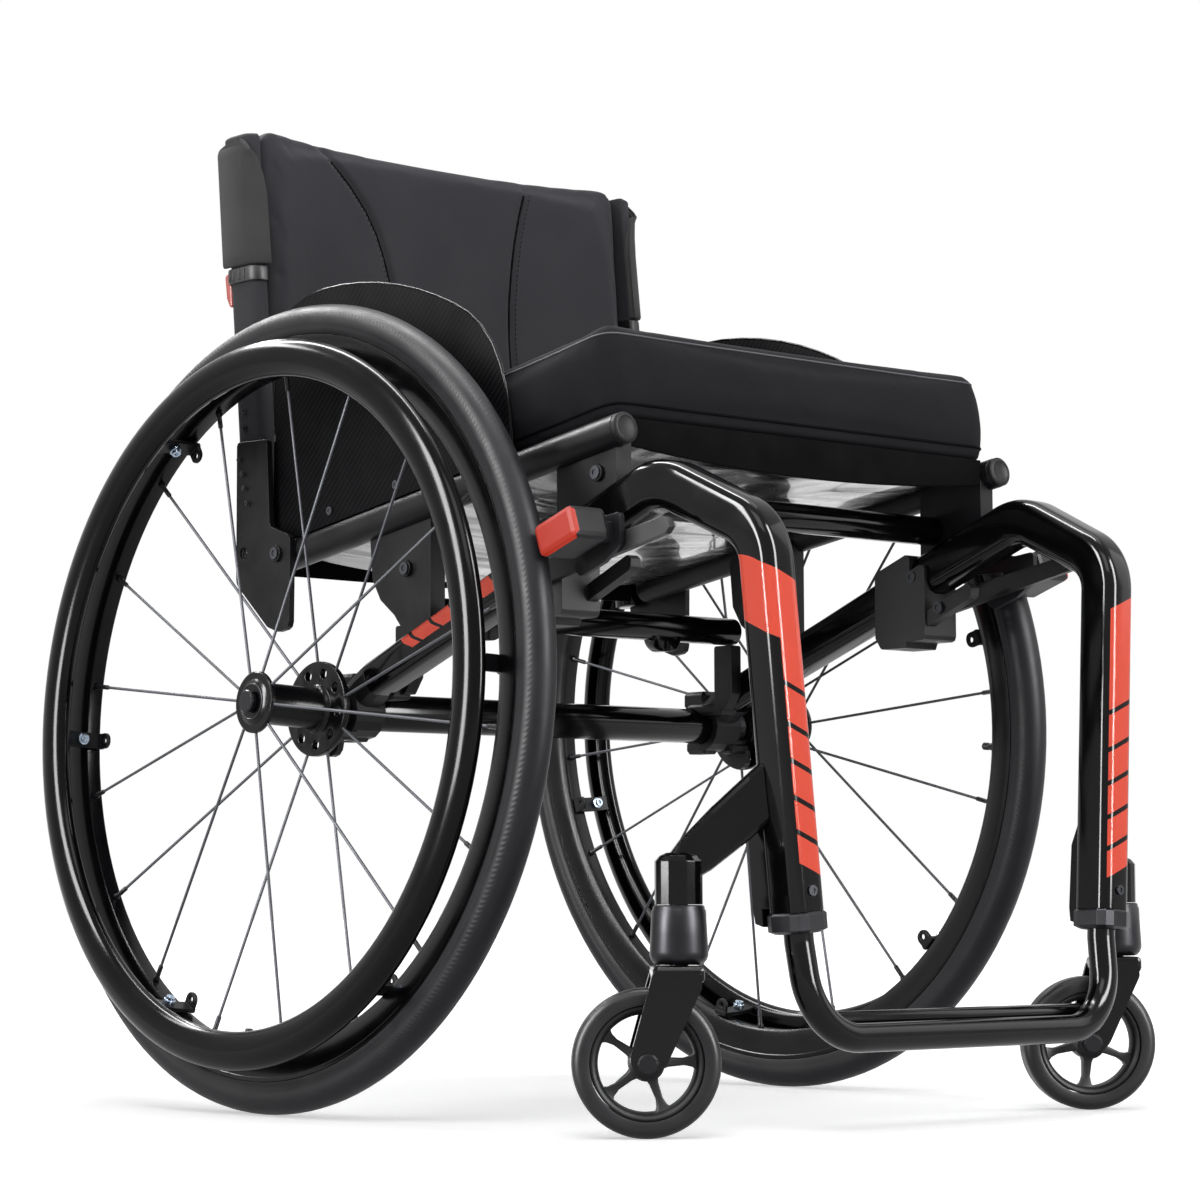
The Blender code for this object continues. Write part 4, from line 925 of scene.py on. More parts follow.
def pierced_plate(outlines: list[Outline], thick: float, bevel: float,
                  place: Matrix) -> Mesh:
    """Flat plate from outlines, of which the inner ones are holes.

    Args:
        outlines: Closed outlines in the plate's own plane.
        thick: Its thickness, centred on that plane.
        bevel: Width of its rounded edges.
        place: Where it stands.

    Returns:
        The mesh.
    """
    line = bpy.data.curves.new("plate", "CURVE")
    line.dimensions = "2D"
    line.fill_mode = "BOTH"
    line.extrude = thick / 2 - bevel
    line.bevel_depth = bevel
    line.bevel_resolution = 2
    line.offset = -bevel
    for outline in outlines:
        spline = line.splines.new("POLY")
        spline.points.add(len(outline) - 1)
        for point, (x, y) in zip(spline.points, outline):
            point.co = (x, y, 0.0, 1.0)
        spline.use_cyclic_u = True
    holder = linked("plate", line)
    bpy.context.view_layer.update()
    data = evaluated(holder)
    bpy.data.objects.remove(holder, do_unlink=True)
    data.transform(place)
    bm = bmesh.new()
    bm.from_mesh(data)
    return close(bm)


def circle(radius: float, steps: int, x: float = 0.0, y: float = 0.0) -> Outline:
    """Points of a circle about (x, y)."""
    return [(x + radius * math.cos(a), y + radius * math.sin(a))
            for a in (2 * math.pi * k / steps for k in range(steps))]


def edge_walls(bm: bmesh.types.BMesh, front: list, back: list) -> None:
    """Join the outer edges of two grids of cloth points.

    Args:
        bm: The bmesh that holds them.
        front: Rows of points of one face.
        back: Rows of points of the other face.
    """
    edges = [grid[0] + [line[-1] for line in grid[1:]] + grid[-1][-2::-1]
             + [line[0] for line in grid[-2:0:-1]] for grid in (front, back)]
    for k in range(len(edges[0])):
        n = (k + 1) % len(edges[0])
        bm.faces.new((edges[0][k], edges[1][k], edges[1][n], edges[0][n]))


def caught(data: Mesh) -> BVHTree:
    """Tree of a mesh's faces, for casting rays at it."""
    return BVHTree.FromPolygons([v.co for v in data.vertices], [p.vertices for p in data.polygons])


# ---- repeated pieces


@dataclass
class Repeater:
    """Geometry Nodes trees that repeat a small shape round an axis or at marked points."""

    def _tree(self, name: str, sockets: dict[str, str]) -> tuple[Tree, bpy.types.NodeOutputs]:
        """Start a tree with its named inputs.

        Args:
            name: The tree's name.
            sockets: Name and kind of each input, before its finish.

        Returns:
            The tree and the sockets of its inputs.
        """
        tree = bpy.data.node_groups.new(name, "GeometryNodeTree")
        tree.interface.new_socket("Geometry", in_out="OUTPUT", socket_type="NodeSocketGeometry")
        for label, kind in {**sockets, "Finish": "Material"}.items():
            tree.interface.new_socket(label, in_out="INPUT", socket_type=f"NodeSocket{kind}")
        return tree, add_node(tree, "NodeGroupInput").outputs

    def _copies(self, tree: Tree, given: bpy.types.NodeOutputs, points: Socket, shape: Socket,
                turn: Socket) -> Tree:
        """End a tree: copies of a shape at points, made real and coated.

        Args:
            tree: The tree.
            given: The sockets of its inputs.
            points: Where the copies go.
            shape: What is copied.
            turn: How each copy is turned.

        Returns:
            The tree.
        """
        copies = add_node(tree, "GeometryNodeInstanceOnPoints", {
            "Points": points, "Instance": shape, "Rotation": turn})
        real = add_node(tree, "GeometryNodeRealizeInstances", {0: copies.outputs[0]})
        coated = add_node(tree, "GeometryNodeSetMaterial", {"Geometry": real.outputs[0],
                                                            "Material": given["Finish"]})
        add_node(tree, "NodeGroupOutput", {0: coated.outputs[0]})
        return tree

    def _ring(self) -> Tree:
        """Tree that repeats a shape round the Z axis.

        Returns:
            The tree.
        """
        tree, given = self._tree("ring_of_pieces", {"Shape": "Geometry", "Count": "Int", "Phase": "Float"})
        marks = add_node(tree, "GeometryNodeMeshLine", {"Count": given["Count"], "Offset": (0.0, 0.0, 0.0)})
        index = add_node(tree, "GeometryNodeInputIndex").outputs[0]
        share = calc(tree, "DIVIDE", index, given["Count"])
        spin = add_node(tree, "ShaderNodeCombineXYZ", {
            "Z": calc(tree, "MULTIPLY_ADD", share, 2 * math.pi, given["Phase"])})
        return self._copies(tree, given, marks.outputs[0], given["Shape"], spin.outputs[0])

    def _sockets(self) -> Tree:
        """Tree that puts a socket-head screw at each marked point.

        Returns:
            The tree.
        """
        tree, given = self._tree("socket_screws", {"Points": "Geometry", "Radius": "Float",
                                                   "Height": "Float"})
        head, key = (add_node(tree, "GeometryNodeMeshCylinder", {
            "Vertices": sides, "Radius": radius, "Depth": given["Height"]}).outputs[0]
            for sides, radius in ((20, given["Radius"]), (6, calc(tree, "MULTIPLY", given["Radius"], 0.52))))
        up = add_node(tree, "ShaderNodeCombineXYZ", {"Z": calc(tree, "MULTIPLY", given["Height"], 0.55)})
        raised = add_node(tree, "GeometryNodeTransform", {"Geometry": key, "Translation": up.outputs[0]})
        cut = add_node(tree, "GeometryNodeMeshBoolean", {"Mesh 1": head, "Mesh 2": raised.outputs[0]},
                       solver="EXACT")
        aim = add_node(tree, "GeometryNodeInputNamedAttribute", {"Name": "aim"}, data_type="FLOAT_VECTOR")
        face = add_node(tree, "FunctionNodeAlignRotationToVector", {"Vector": aim.outputs[0]}, axis="Z")
        return self._copies(tree, given, given["Points"], cut.outputs[0], face.outputs[0])

    def _thread(self) -> Tree:
        """Tree that lays oval stitches along a seam.

        Returns:
            The tree.
        """
        tree, given = self._tree("seam_stitches", {"Seam": "Geometry", "Pitch": "Float", "Length": "Float",
                                                   "Radius": "Float"})
        line = add_node(tree, "GeometryNodeMeshToCurve", {"Mesh": given["Seam"]})
        even = add_node(tree, "GeometryNodeResampleCurve", {"Curve": line.outputs[0],
                                                            "Length": given["Pitch"]}, mode="LENGTH")
        ball = add_node(tree, "GeometryNodeMeshUVSphere", {"Segments": 6, "Rings": 4, "Radius": 1.0})
        size = add_node(tree, "ShaderNodeCombineXYZ", {0: given["Radius"], 1: given["Radius"],
                                                       2: calc(tree, "MULTIPLY", given["Length"], 0.5)})
        oval = add_node(tree, "GeometryNodeTransform", {"Geometry": ball.outputs[0],
                                                        "Scale": size.outputs[0]})
        way = add_node(tree, "GeometryNodeInputTangent")
        face = add_node(tree, "FunctionNodeAlignRotationToVector", {"Vector": way.outputs[0]}, axis="Z")
        return self._copies(tree, given, even.outputs[0], oval.outputs[0], face.outputs[0])

    def _bake(self, source: Mesh, tree: Tree, values: dict, finish: str) -> Mesh:
        """Run a tree on a mesh and keep the result as a plain mesh.

        Args:
            source: The mesh that it starts from.
            tree: The tree.
            values: Values of its inputs, by name.
            finish: The name of the copies' finish.

        Returns:
            The result.
        """
        holder = linked("repeat", source)
        step = holder.modifiers.new("repeat", "NODES")
        step.node_group = tree
        sockets = {item.name: item.identifier for item in tree.interface.items_tree
                   if item.item_type == "SOCKET" and item.in_out == "INPUT"}
        for name, value in {**values, "Finish": finish_of(finish)}.items():
            step[sockets[name]] = value
        bpy.context.view_layer.update()
        data = evaluated(holder)
        bpy.data.objects.remove(holder, do_unlink=True)
        return data

    def around(self, shape: Mesh, count: int, phase: float, finish: str) -> Mesh:
        """Repeat a shape round the Z axis.

        Args:
            shape: The shape to repeat.
            count: How many there are.
            phase: Angle of the first one.
            finish: The name of their finish.

        Returns:
            All of them as one mesh.
        """
        tree = bpy.data.node_groups.get("ring_of_pieces") or self._ring()
        return self._bake(shape, tree, {"Count": count, "Phase": phase}, finish)

    def screws(self, spots: list[tuple[Vector, Vector]], radius: float, height: float, finish: str) -> Mesh:
        """Socket-head screws at marked points.

        Args:
            spots: Point and outward direction of each screw.
            radius: Radius of the heads.
            height: How far they stand out.
            finish: The name of their finish.

        Returns:
            All of them as one mesh.
        """
        tree = bpy.data.node_groups.get("socket_screws") or self._sockets()
        marks = bpy.data.meshes.new("marks")
        marks.from_pydata([tuple(p) for p, _ in spots], [], [])
        aims = marks.attributes.new("aim", "FLOAT_VECTOR", "POINT")
        for item, (_, way) in zip(aims.data, spots):
            item.vector = Vector(way).normalized()
        return self._bake(marks, tree, {"Radius": radius, "Height": height}, finish)

    def stitches(self, path: list[Vector], pitch: float, length: float, radius: float, finish: str) -> Mesh:
        """Lock stitches along a seam.

        Args:
            path: Points of the seam on the fabric.
            pitch: Distance from stitch to stitch.
            length: Length of a stitch.
            radius: Radius of the thread.
            finish: The name of the thread's finish.

        Returns:
            All of them as one mesh.
        """
        tree = bpy.data.node_groups.get("seam_stitches") or self._thread()
        seam = bpy.data.meshes.new("seam")
        seam.from_pydata([tuple(p) for p in path], [(k, k + 1) for k in range(len(path) - 1)], [])
        return self._bake(seam, tree, {"Pitch": pitch, "Length": length, "Radius": radius}, finish)


REPEAT = Repeater()


# ---- sub-assemblies


@dataclass
class RearWheel:
    """Tyre, rim, valve, hub, spokes and hand rim of one rear wheel."""

    side: Side
    track: float = 0.2467
    height: float = 0.29393
    camber: float = math.radians(3.0)
    spokes: int = 18
    spoke_r: float = 0.0011
    rim_inner_r: float = 0.2480
    rim_flange_r: float = 0.2712
    tyre_centre_r: float = 0.2820
    tyre_half: tuple[float, float] = (0.0125, 0.0123)
    flange_h: float = -0.0305
    spoke_end_r: float = 0.2472
    handrim_r: float = 0.2500
    handrim_h: float = 0.0334
    handrim_half: tuple[float, float] = (0.0085, 0.0140)
    tabs: int = 6
    bolt_r: float = 0.2430
    bolt_h: float = 0.0150
    steps: int = 144

    @property
    def phase(self) -> float:
        """Angle of the first spoke from straight up toward the front."""
        return math.radians(-14.0 if self.side is Side.LEFT else -4.0)

    @property
    def place(self) -> Matrix:
        """Frame of the wheel: Z outward along its axle, X up the wheel.

        Returns:
            The frame.
        """
        sign = self.side.value
        outward = Vector((sign * math.cos(self.camber), 0, math.sin(self.camber)))
        return axis_frame(Vector((sign * self.track, 0, self.height)), outward)

    def put(self, name: str, data: Mesh, finish: str, slot: str, replaces: tuple = (),
            sharp: float = 40.0) -> Object:
        """Dress one piece of the wheel."""
        return dress(f"{name}_{self.side.label}", data, finish, f"wheel_{self.side.label}", slot,
                     tuple(f"{n}_{self.side.label}" for n in replaces), sharp)

    def turned_to(self, angle: float) -> Matrix:
        """Turn about the wheel's own axis, counted toward the front."""
        return self.place @ Matrix.Rotation(self.side.value * angle, 4, "Z")

    def tyre(self) -> None:
        """Tyre with rounded tread and beads."""
        points = [(0.0080, 0.2697), (0.0108, 0.2722)]
        wide, tall = self.tyre_half
        for k in range(25):
            angle = math.radians(-28 + 236 * k / 24)
            points.append((wide * math.cos(angle), self.tyre_centre_r + tall * math.sin(angle)))
        points += [(-0.0108, 0.2722), (-0.0080, 0.2697)]
        half = sum(math.hypot(a[0] - b[0], a[1] - b[1]) for a, b in zip(points, points[1:])) / 2
        self.put("tyre", lathe(points, self.steps, self.place, half), "tyre_rubber", "tyre",
                 ("rear_tyre",), 50)

    def rim(self) -> None:
        """Double-wall rim with its flanges, a wear line and the valve."""
        r, f = self.rim_inner_r, self.rim_flange_r
        points = [(0.0104, f - 0.0003), (0.0098, f), (0.0088, f - 0.0004), (0.0085, 0.2694),
                  (-0.0085, 0.2694), (-0.0088, f - 0.0004), (-0.0098, f), (-0.0104, f - 0.0003),
                  (-0.0105, f - 0.0030), (-0.0099, f - 0.0036), (-0.0098, f - 0.0090),
                  (-0.0088, r + 0.0080), (-0.0070, r + 0.0020), (-0.0056, r + 0.0003), (-0.0040, r),
                  (0.0040, r), (0.0056, r + 0.0003), (0.0070, r + 0.0020), (0.0088, r + 0.0080),
                  (0.0098, f - 0.0090), (0.0099, f - 0.0036), (0.0105, f - 0.0030)]
        self.put("rim", lathe(points, self.steps, self.place), "rim_anodised", "anodised",
                 ("rear_rim",), 30)
        angle = math.radians(96.0 if self.side is Side.LEFT else 186.0)
        stem = [(0.0, 0.0), (0.0, 0.0031), (0.0045, 0.0030), (0.0052, 0.0026), (0.0080, 0.0026),
                (0.0084, 0.0029), (0.0122, 0.0029), (0.0130, 0.0022), (0.0130, 0.0)]
        base = self.turned_to(angle) @ axis_frame(Vector((r, 0, 0)), Vector((-1, 0, 0)))
        self.put("valve", lathe(stem, 20, base), "moulded_nylon", "plastic")

    def hub(self) -> None:
        """Barrel with its pierced inner flange, outer flange and cap ring."""
        barrel = [(0.0300, 0.0068), (0.0300, 0.0120), (0.0292, 0.0150), (0.0280, 0.0168),
                  (0.0280, 0.0214), (0.0272, 0.0224), (0.0250, 0.0225), (0.0242, 0.0218),
                  (0.0222, 0.0170), (0.0205, 0.0152), (-0.0240, 0.0150), (-0.0268, 0.0165),
                  (-0.0282, 0.0185), (-0.0340, 0.0185), (-0.0350, 0.0170), (-0.0350, 0.0068)]
        flange_place = self.place @ Matrix.Translation((0, 0, self.flange_h))
        reach = 0.0265
        holes = [circle(0.0036, 14, reach * math.cos(a), reach * self.side.value * math.sin(a))
                 for a in (self.phase + math.radians(20 + 40 * k) for k in range(9))]
        flange = pierced_plate([circle(0.0350, 64), circle(0.0172, 40), *holes], 0.0050, 0.0008,
                               flange_place)
        shape = merged([lathe(barrel, 64, self.place), flange])
        self.put("hub", shape, "rim_anodised", "anodised", ("rear_hub",), 30)
        ring = [(0.0298 + 0.0007 * math.sin(a), 0.0128 + 0.0009 * math.cos(a))
                for a in (2 * math.pi * k / 10 for k in range(10))]
        self.put("hub_ring", lathe(ring, 48, self.place), "grey_anodised", "alloy", sharp=60)

    def lacing(self) -> None:
        """Spokes and nipples, repeated round the hub."""
        rim_end = Vector((self.spoke_end_r, 0, 0))
        outer_foot, inner_foot = Vector((0.0190, 0, 0.0258)), Vector((0.0312, 0, self.flange_h))
        wires, nipples = [], []
        for offset, foot in ((1, outer_foot), (0, inner_foot)):
            way = (rim_end - foot).normalized()
            wire = sweep([foot, rim_end], self.spoke_r, 8)
            nipple = lathe([(0.0, 0.0), (0.0, 0.0014), (0.0006, 0.0018), (0.0100, 0.0018), (0.0112, 0.0026),
                            (0.0130, 0.0028), (0.0130, 0.0)], 8, axis_frame(rim_end - way * 0.0128, way))
            phase = self.side.value * (self.phase + offset * 2 * math.pi / self.spokes)
            wires.append(REPEAT.around(wire, self.spokes // 2, phase, "spoke_steel"))
            nipples.append(REPEAT.around(nipple, self.spokes // 2, phase, "plated_steel"))
        for name, parts, finish in (("spokes", wires, "spoke_steel"), ("nipples", nipples, "grey_anodised")):
            shape = merged(parts)
            shape.transform(self.place)
            self.put(name, shape, finish, "anodised")

    def handrim(self) -> None:
        """Oval hand rim with six tabs that wrap under the rim, and their screws."""
        wide, tall = self.handrim_half
        points = [(self.handrim_h + wide * math.cos(a), self.handrim_r + tall * math.sin(a))
                  for a in (2 * math.pi * k / 28 for k in range(28))]
        self.put("handrim", lathe(points, self.steps, self.place), "handrim_anodised", "handrim",
                 ("handrim",), 60)
        outline = [(0.2425, 0.0320), (0.2452, 0.0200), (0.2462, 0.0080), (0.2462, -0.0060)]
        strip = ((-0.0060, 0.0), (0.0060, 0.0), (0.0062, 0.0014), (0.0060, 0.0030), (-0.0060, 0.0030),
                 (-0.0062, 0.0014))
        rows = [[Vector((r - t, w, h)) for w, t in strip] for r, h in outline]
        strap = skin(rows, [0.0] * 7, [0.0, 0.01, 0.02, 0.03, 0.04])
        eye = pierced_plate([rounded_loop([(-0.0060, -0.006), (0.0060, -0.006), (0.0060, 0.008),
                                           (-0.0060, 0.008)], [0.001, 0.001, 0.0055, 0.0055], 6),
                             circle(0.0022, 12, 0.0, 0.0030)], 0.0026, 0.0005,
                            Matrix(((0, -1, 0, 0.2410), (1, 0, 0, 0.0), (0, 0, 1, -0.0045), (0, 0, 0, 1))))
        phase = self.side.value * (self.phase + math.radians(30))
        for name, part, finish in (("handrim_tabs", merged([strap, eye]), "bracket_coat"),
                                   ("handrim_bolts", self.bolt(), "plated_steel")):
            shape = REPEAT.around(part, self.tabs, phase, finish)
            shape.transform(self.place)
            self.put(name, shape, finish, "handrim")

    def bolt(self) -> Mesh:
        """Plated bolt and spacer that hold a tab between hand rim and rim.

        Returns:
            Both as one mesh.
        """
        inward = Vector((-1, 0, 0))
        spacer = lathe([(0.0, 0.0), (0.0, 0.0040), (0.0010, 0.0044), (0.0040, 0.0044), (0.0045, 0.0030),
                        (0.0045, 0.0)], 20, axis_frame(Vector((self.bolt_r, 0, self.bolt_h)), inward))
        head = REPEAT.screws([(Vector((self.bolt_r - 0.0052, 0, self.bolt_h)), inward)], 0.0034, 0.0026,
                             "plated_steel")
        return merged([spacer, head])

    def build(self) -> None:
        """Make and dress the whole wheel."""
        self.tyre()
        self.rim()
        self.hub()
        self.lacing()
        self.handrim()


@dataclass
class SideFrame:
    """Swept side tubes, the cross tubes, seat rails and the footrest."""

    half_x: float = 0.0140
    half_rear: float = 0.0130
    half_peak: float = 0.0170
    half_leg: float = 0.0160
    corner: float = 0.0085
    diagonal_x: float = 0.1815
    slope: float = 0.384
    diagonal_z0: float = 0.3030
    rear_y: float = -0.0290
    peak_y: float = -0.3373
    bend: tuple[float, float, float] = (0.1725, -0.4218, 0.3929)
    foot: tuple[float, float, float] = (0.1523, -0.4286, 0.1443)
    rail_ends: tuple[float, float] = (-0.3077, 0.0860)
    footrest_corner: tuple[float, float, float] = (0.1463, -0.4380, 0.0620)
    footrest_r: float = 0.0098
    turn_share: float = 0.70
    arc_steps: int = 18
    corner_steps: int = 8
    # Half length, Y, Z and radius of the straight bars, and the CAD node that each stands for.
    bars: tuple[tuple, ...] = (
        ("axle_bar", 0.19687, 0, 0.29132, 0.0138, "axle_tube"),
        ("front_cross_bar", 0.1762, -0.25, 0.429, 0.0108, "cross_tube_front"))

    def tube(self) -> Mesh:
        """The left tube, with metres round it in U and up from its foot in V.

        Returns:
            The mesh.
        """
        corners = [Vector((self.diagonal_x, y, self.diagonal_z0 - self.slope * y))
                   for y in (self.rear_y, self.peak_y)]
        path = rounded(corners + [Vector(self.bend), Vector(self.foot)], [0.042, 0.034], self.arc_steps)
        last = len(path) - 1
        rings, along = [], [0.0]
        for k, spot in enumerate(path):
            into = (spot - path[max(k - 1, 0)]).normalized() if k else (path[1] - spot).normalized()
            away = (path[min(k + 1, last)] - spot).normalized() if k < last else into
            run = (into + away).normalized()
            if spot.y > self.peak_y:
                share = (self.rear_y - spot.y) / (self.rear_y - self.peak_y)
                half = self.half_rear + (self.half_peak - self.half_rear) * share
            else:
                share = min(1.0, (self.peak_y - spot.y) / (self.peak_y - self.bend[1]))
                half = self.half_peak + (self.half_leg - self.half_peak) * share
            across = Vector((1, 0, 0))
            across = (across - run * run.dot(across)).normalized()
            tall = run.cross(across)
            shape = section(self.half_x, half, self.corner, self.corner_steps)
            rings.append([spot + across * a + tall * b for a, b in shape])
            if k < last:
                along.append(along[-1] + (path[k + 1] - spot).length)
        total = along[-1]
        LOG.info("side tube: %.4f m along its middle line", total)
        # The section starts at the upper end of the outer side, so U counts on from there.
        shape = section(self.half_x, self.half_leg, self.corner, self.corner_steps)
        around = [self.half_leg - self.corner]
        for k in range(len(shape)):
            a, b = shape[k], shape[(k + 1) % len(shape)]
            around.append(around[-1] + math.hypot(a[0] - b[0], a[1] - b[1]))
        data = skin(rings, around, [total - v for v in along])
        # The last part of the girth lies on the outer side again, and is counted back from its middle.
        girth = around[-1] - around[0]
        spots = data.uv_layers[0].uv
        for face in data.polygons:
            if sum(spots[k].vector[0] for k in face.loop_indices) / face.loop_total > girth * self.turn_share:
                for k in face.loop_indices:
                    spots[k].vector = (spots[k].vector[0] - girth, spots[k].vector[1])
        return data

    def footrest(self) -> Mesh:
        """Bent footrest tube and the thinner bar behind it.

        Returns:
            The mesh.
        """
        lean = (Vector(self.bend) - Vector(self.foot)).normalized()
        top = Vector(self.foot)
        left = [top - lean * 0.0009, top - lean * 0.020, Vector(self.footrest_corner)]
        right = [Vector((-p.x, p.y, p.z)) for p in reversed(left)]
        path = rounded(left + right, [0.030, 0.045, 0.045, 0.030], 14)
        loop = sweep(path, self.footrest_r, 28)
        bar = rod((-0.1310, -0.4245, 0.0730), (0.1310, -0.4245, 0.0730), 0.0060, sides=24)
        return merged([loop, bar])

    def rail(self) -> Mesh:
        """The left seat rail, whose front end is open for the plug.

        Returns:
            The mesh.
        """
        front, rear = (Vector((RAIL_X, y, rail_z(y))) for y in self.rail_ends)
        length = (front - rear).length
        profile = [(0.0, 0.0), (0.0, RAIL_R), (length - 0.0052, RAIL_R), (length - 0.0049, RAIL_R - 0.0005),
                   (length - 0.0049, 0.0)]
        return lathe(profile, 48, axis_frame(rear, front - rear))

    def plug(self) -> Mesh:
        """Moulded plug in the left rail's front end.

        Returns:
            The mesh.
        """
        front = Vector((RAIL_X, self.rail_ends[0], rail_z(self.rail_ends[0])))
        run = Vector((0, -1, RAIL_SLOPE)).normalized()
        profile = [(-0.0048, 0.0), (-0.0048, RAIL_R - 0.0003), (-0.0014, RAIL_R - 0.0003),
                   (-0.0004, RAIL_R - 0.0014), (0.0, RAIL_R - 0.0030), (-0.0008, RAIL_R - 0.0040),
                   (-0.0008, 0.0)]
        return lathe(profile, 48, axis_frame(front, run))

    def build(self) -> None:
        """Make and dress the tubes."""
        dress_both("frame", {
            "frame_tube": (self.tube(), "banded_lacquer", "frame", ("side_tube",), 40),
            "rail_tube": (self.rail(), "bracket_coat", "frame", ("seat_rail",), 40),
            "rail_plug": (self.plug(), "grey_nylon", "plastic", (), 40),
        })
        dress("footrest_tube", self.footrest(), "frame_lacquer", "frame", "frame", ("footrest",))
        for name, end, y, z, radius, node in self.bars:
            dress(name, rod((-end, y, z), (end, y, z), radius), "frame_lacquer", "frame", "frame", (node,))
        pads = [rod((x, -0.048, 0.3592), (x, -0.032, 0.3592), 0.0134) for x in (-0.0905, 0.0905)]
        rear = merged([rod((-0.1672, -0.04, 0.365), (0.1672, -0.04, 0.365), 0.0108), *pads])
        dress("rear_cross_bar", rear, "frame_lacquer", "frame", "frame", ("cross_tube_rear",))


@dataclass
class Caster:
    """Tread, hub and bearing cup of one caster."""

    side: Side
    stem: tuple[float, float] = (0.2173, -0.3864)
    trail: float = 0.0215
    heading: float = math.radians(-39.5)
    radius: float = 0.048
    half: float = 0.0145
    arms: int = 5

    @property
    def first_arm(self) -> float:
        """Angle of the wheel's first arm, as each wheel happens to stand."""
        return math.radians(16 if self.side is Side.RIGHT else 40)

    @property
    def place(self) -> Matrix:
        """Frame of the caster's axle: Z along it.

        Returns:
            The frame.
        """
        ahead = Vector((math.cos(self.heading), math.sin(self.heading), 0))
        axle = Vector((-ahead.y, ahead.x, 0))
        centre = Vector((self.side.value * self.stem[0], self.stem[1], self.radius)) - ahead * self.trail
        return axis_frame(centre, axle)

    def build(self) -> None:
        """Make and dress the caster's turned pieces."""
        label = self.side.label
        r, h = self.radius, self.half
        tread = [(h - 0.0006, 0.0371), (h, 0.0388), (h, r - 0.0068)]
        for k in range(9):
            a = math.radians(90 * k / 8)
            tread.append((h - 0.0062 + 0.0062 * math.cos(a), r - 0.0058 + 0.0058 * math.sin(a)))
        tread += [(-x, y) for x, y in reversed(tread)]
        dress(f"caster_tread_{label}", lathe(tread, 96, self.place), "caster_polyurethane",
              f"caster_wheel_{label}", "caster_tread", (f"caster_tyre_{label}",))
        ring = [(0.0122, 0.0366), (-0.0122, 0.0366), (-0.0126, 0.0352), (-0.0120, 0.0336), (-0.0100, 0.0322),
                (-0.0040, 0.0312), (0.0040, 0.0312), (0.0100, 0.0322), (0.0120, 0.0336), (0.0126, 0.0352)]
        core = [(0.0150, 0.0048), (0.0150, 0.0078), (0.0144, 0.0085), (0.0118, 0.0100), (0.0110, 0.0115),
                (-0.0110, 0.0115), (-0.0118, 0.0100), (-0.0144, 0.0085), (-0.0150, 0.0078),
                (-0.0150, 0.0048)]
        rows = [[Vector((reach, a, b)) for a, b in section(wide, tall, 0.0010, 3)]
                for reach, wide, tall in ((0.0090, 0.0042, 0.0085), (0.0140, 0.0028, 0.0075),
                                          (0.0240, 0.0022, 0.0066), (0.0290, 0.0034, 0.0072),
                                          (0.0335, 0.0068, 0.0085))]
        arms = REPEAT.around(skin(rows), self.arms, self.first_arm, "moulded_nylon")
        arms.transform(self.place)
        shape = merged([lathe(ring, 80, self.place), lathe(core, 40, self.place), arms])
        dress(f"caster_wheel_hub_{label}", shape, "moulded_nylon", f"caster_wheel_{label}", "plastic",
              (f"caster_hub_{label}",), 35)
        cup = [(0.1489, 0.0066), (0.1489, 0.0156), (0.1480, 0.0166), (0.1460, 0.0170), (0.1452, 0.0176),
               (0.1300, 0.0184), (0.1190, 0.0190), (0.1165, 0.0190), (0.1135, 0.0178), (0.1112, 0.0158),
               (0.1107, 0.0140), (0.1107, 0.0066)]
        stand = Matrix.Translation((self.side.value * self.stem[0], self.stem[1], 0))
        dress(f"stem_cup_{label}", lathe(cup, 56, stand), "grey_anodised", "frame", "alloy",
              (f"bearing_cup_{label}",), 35)


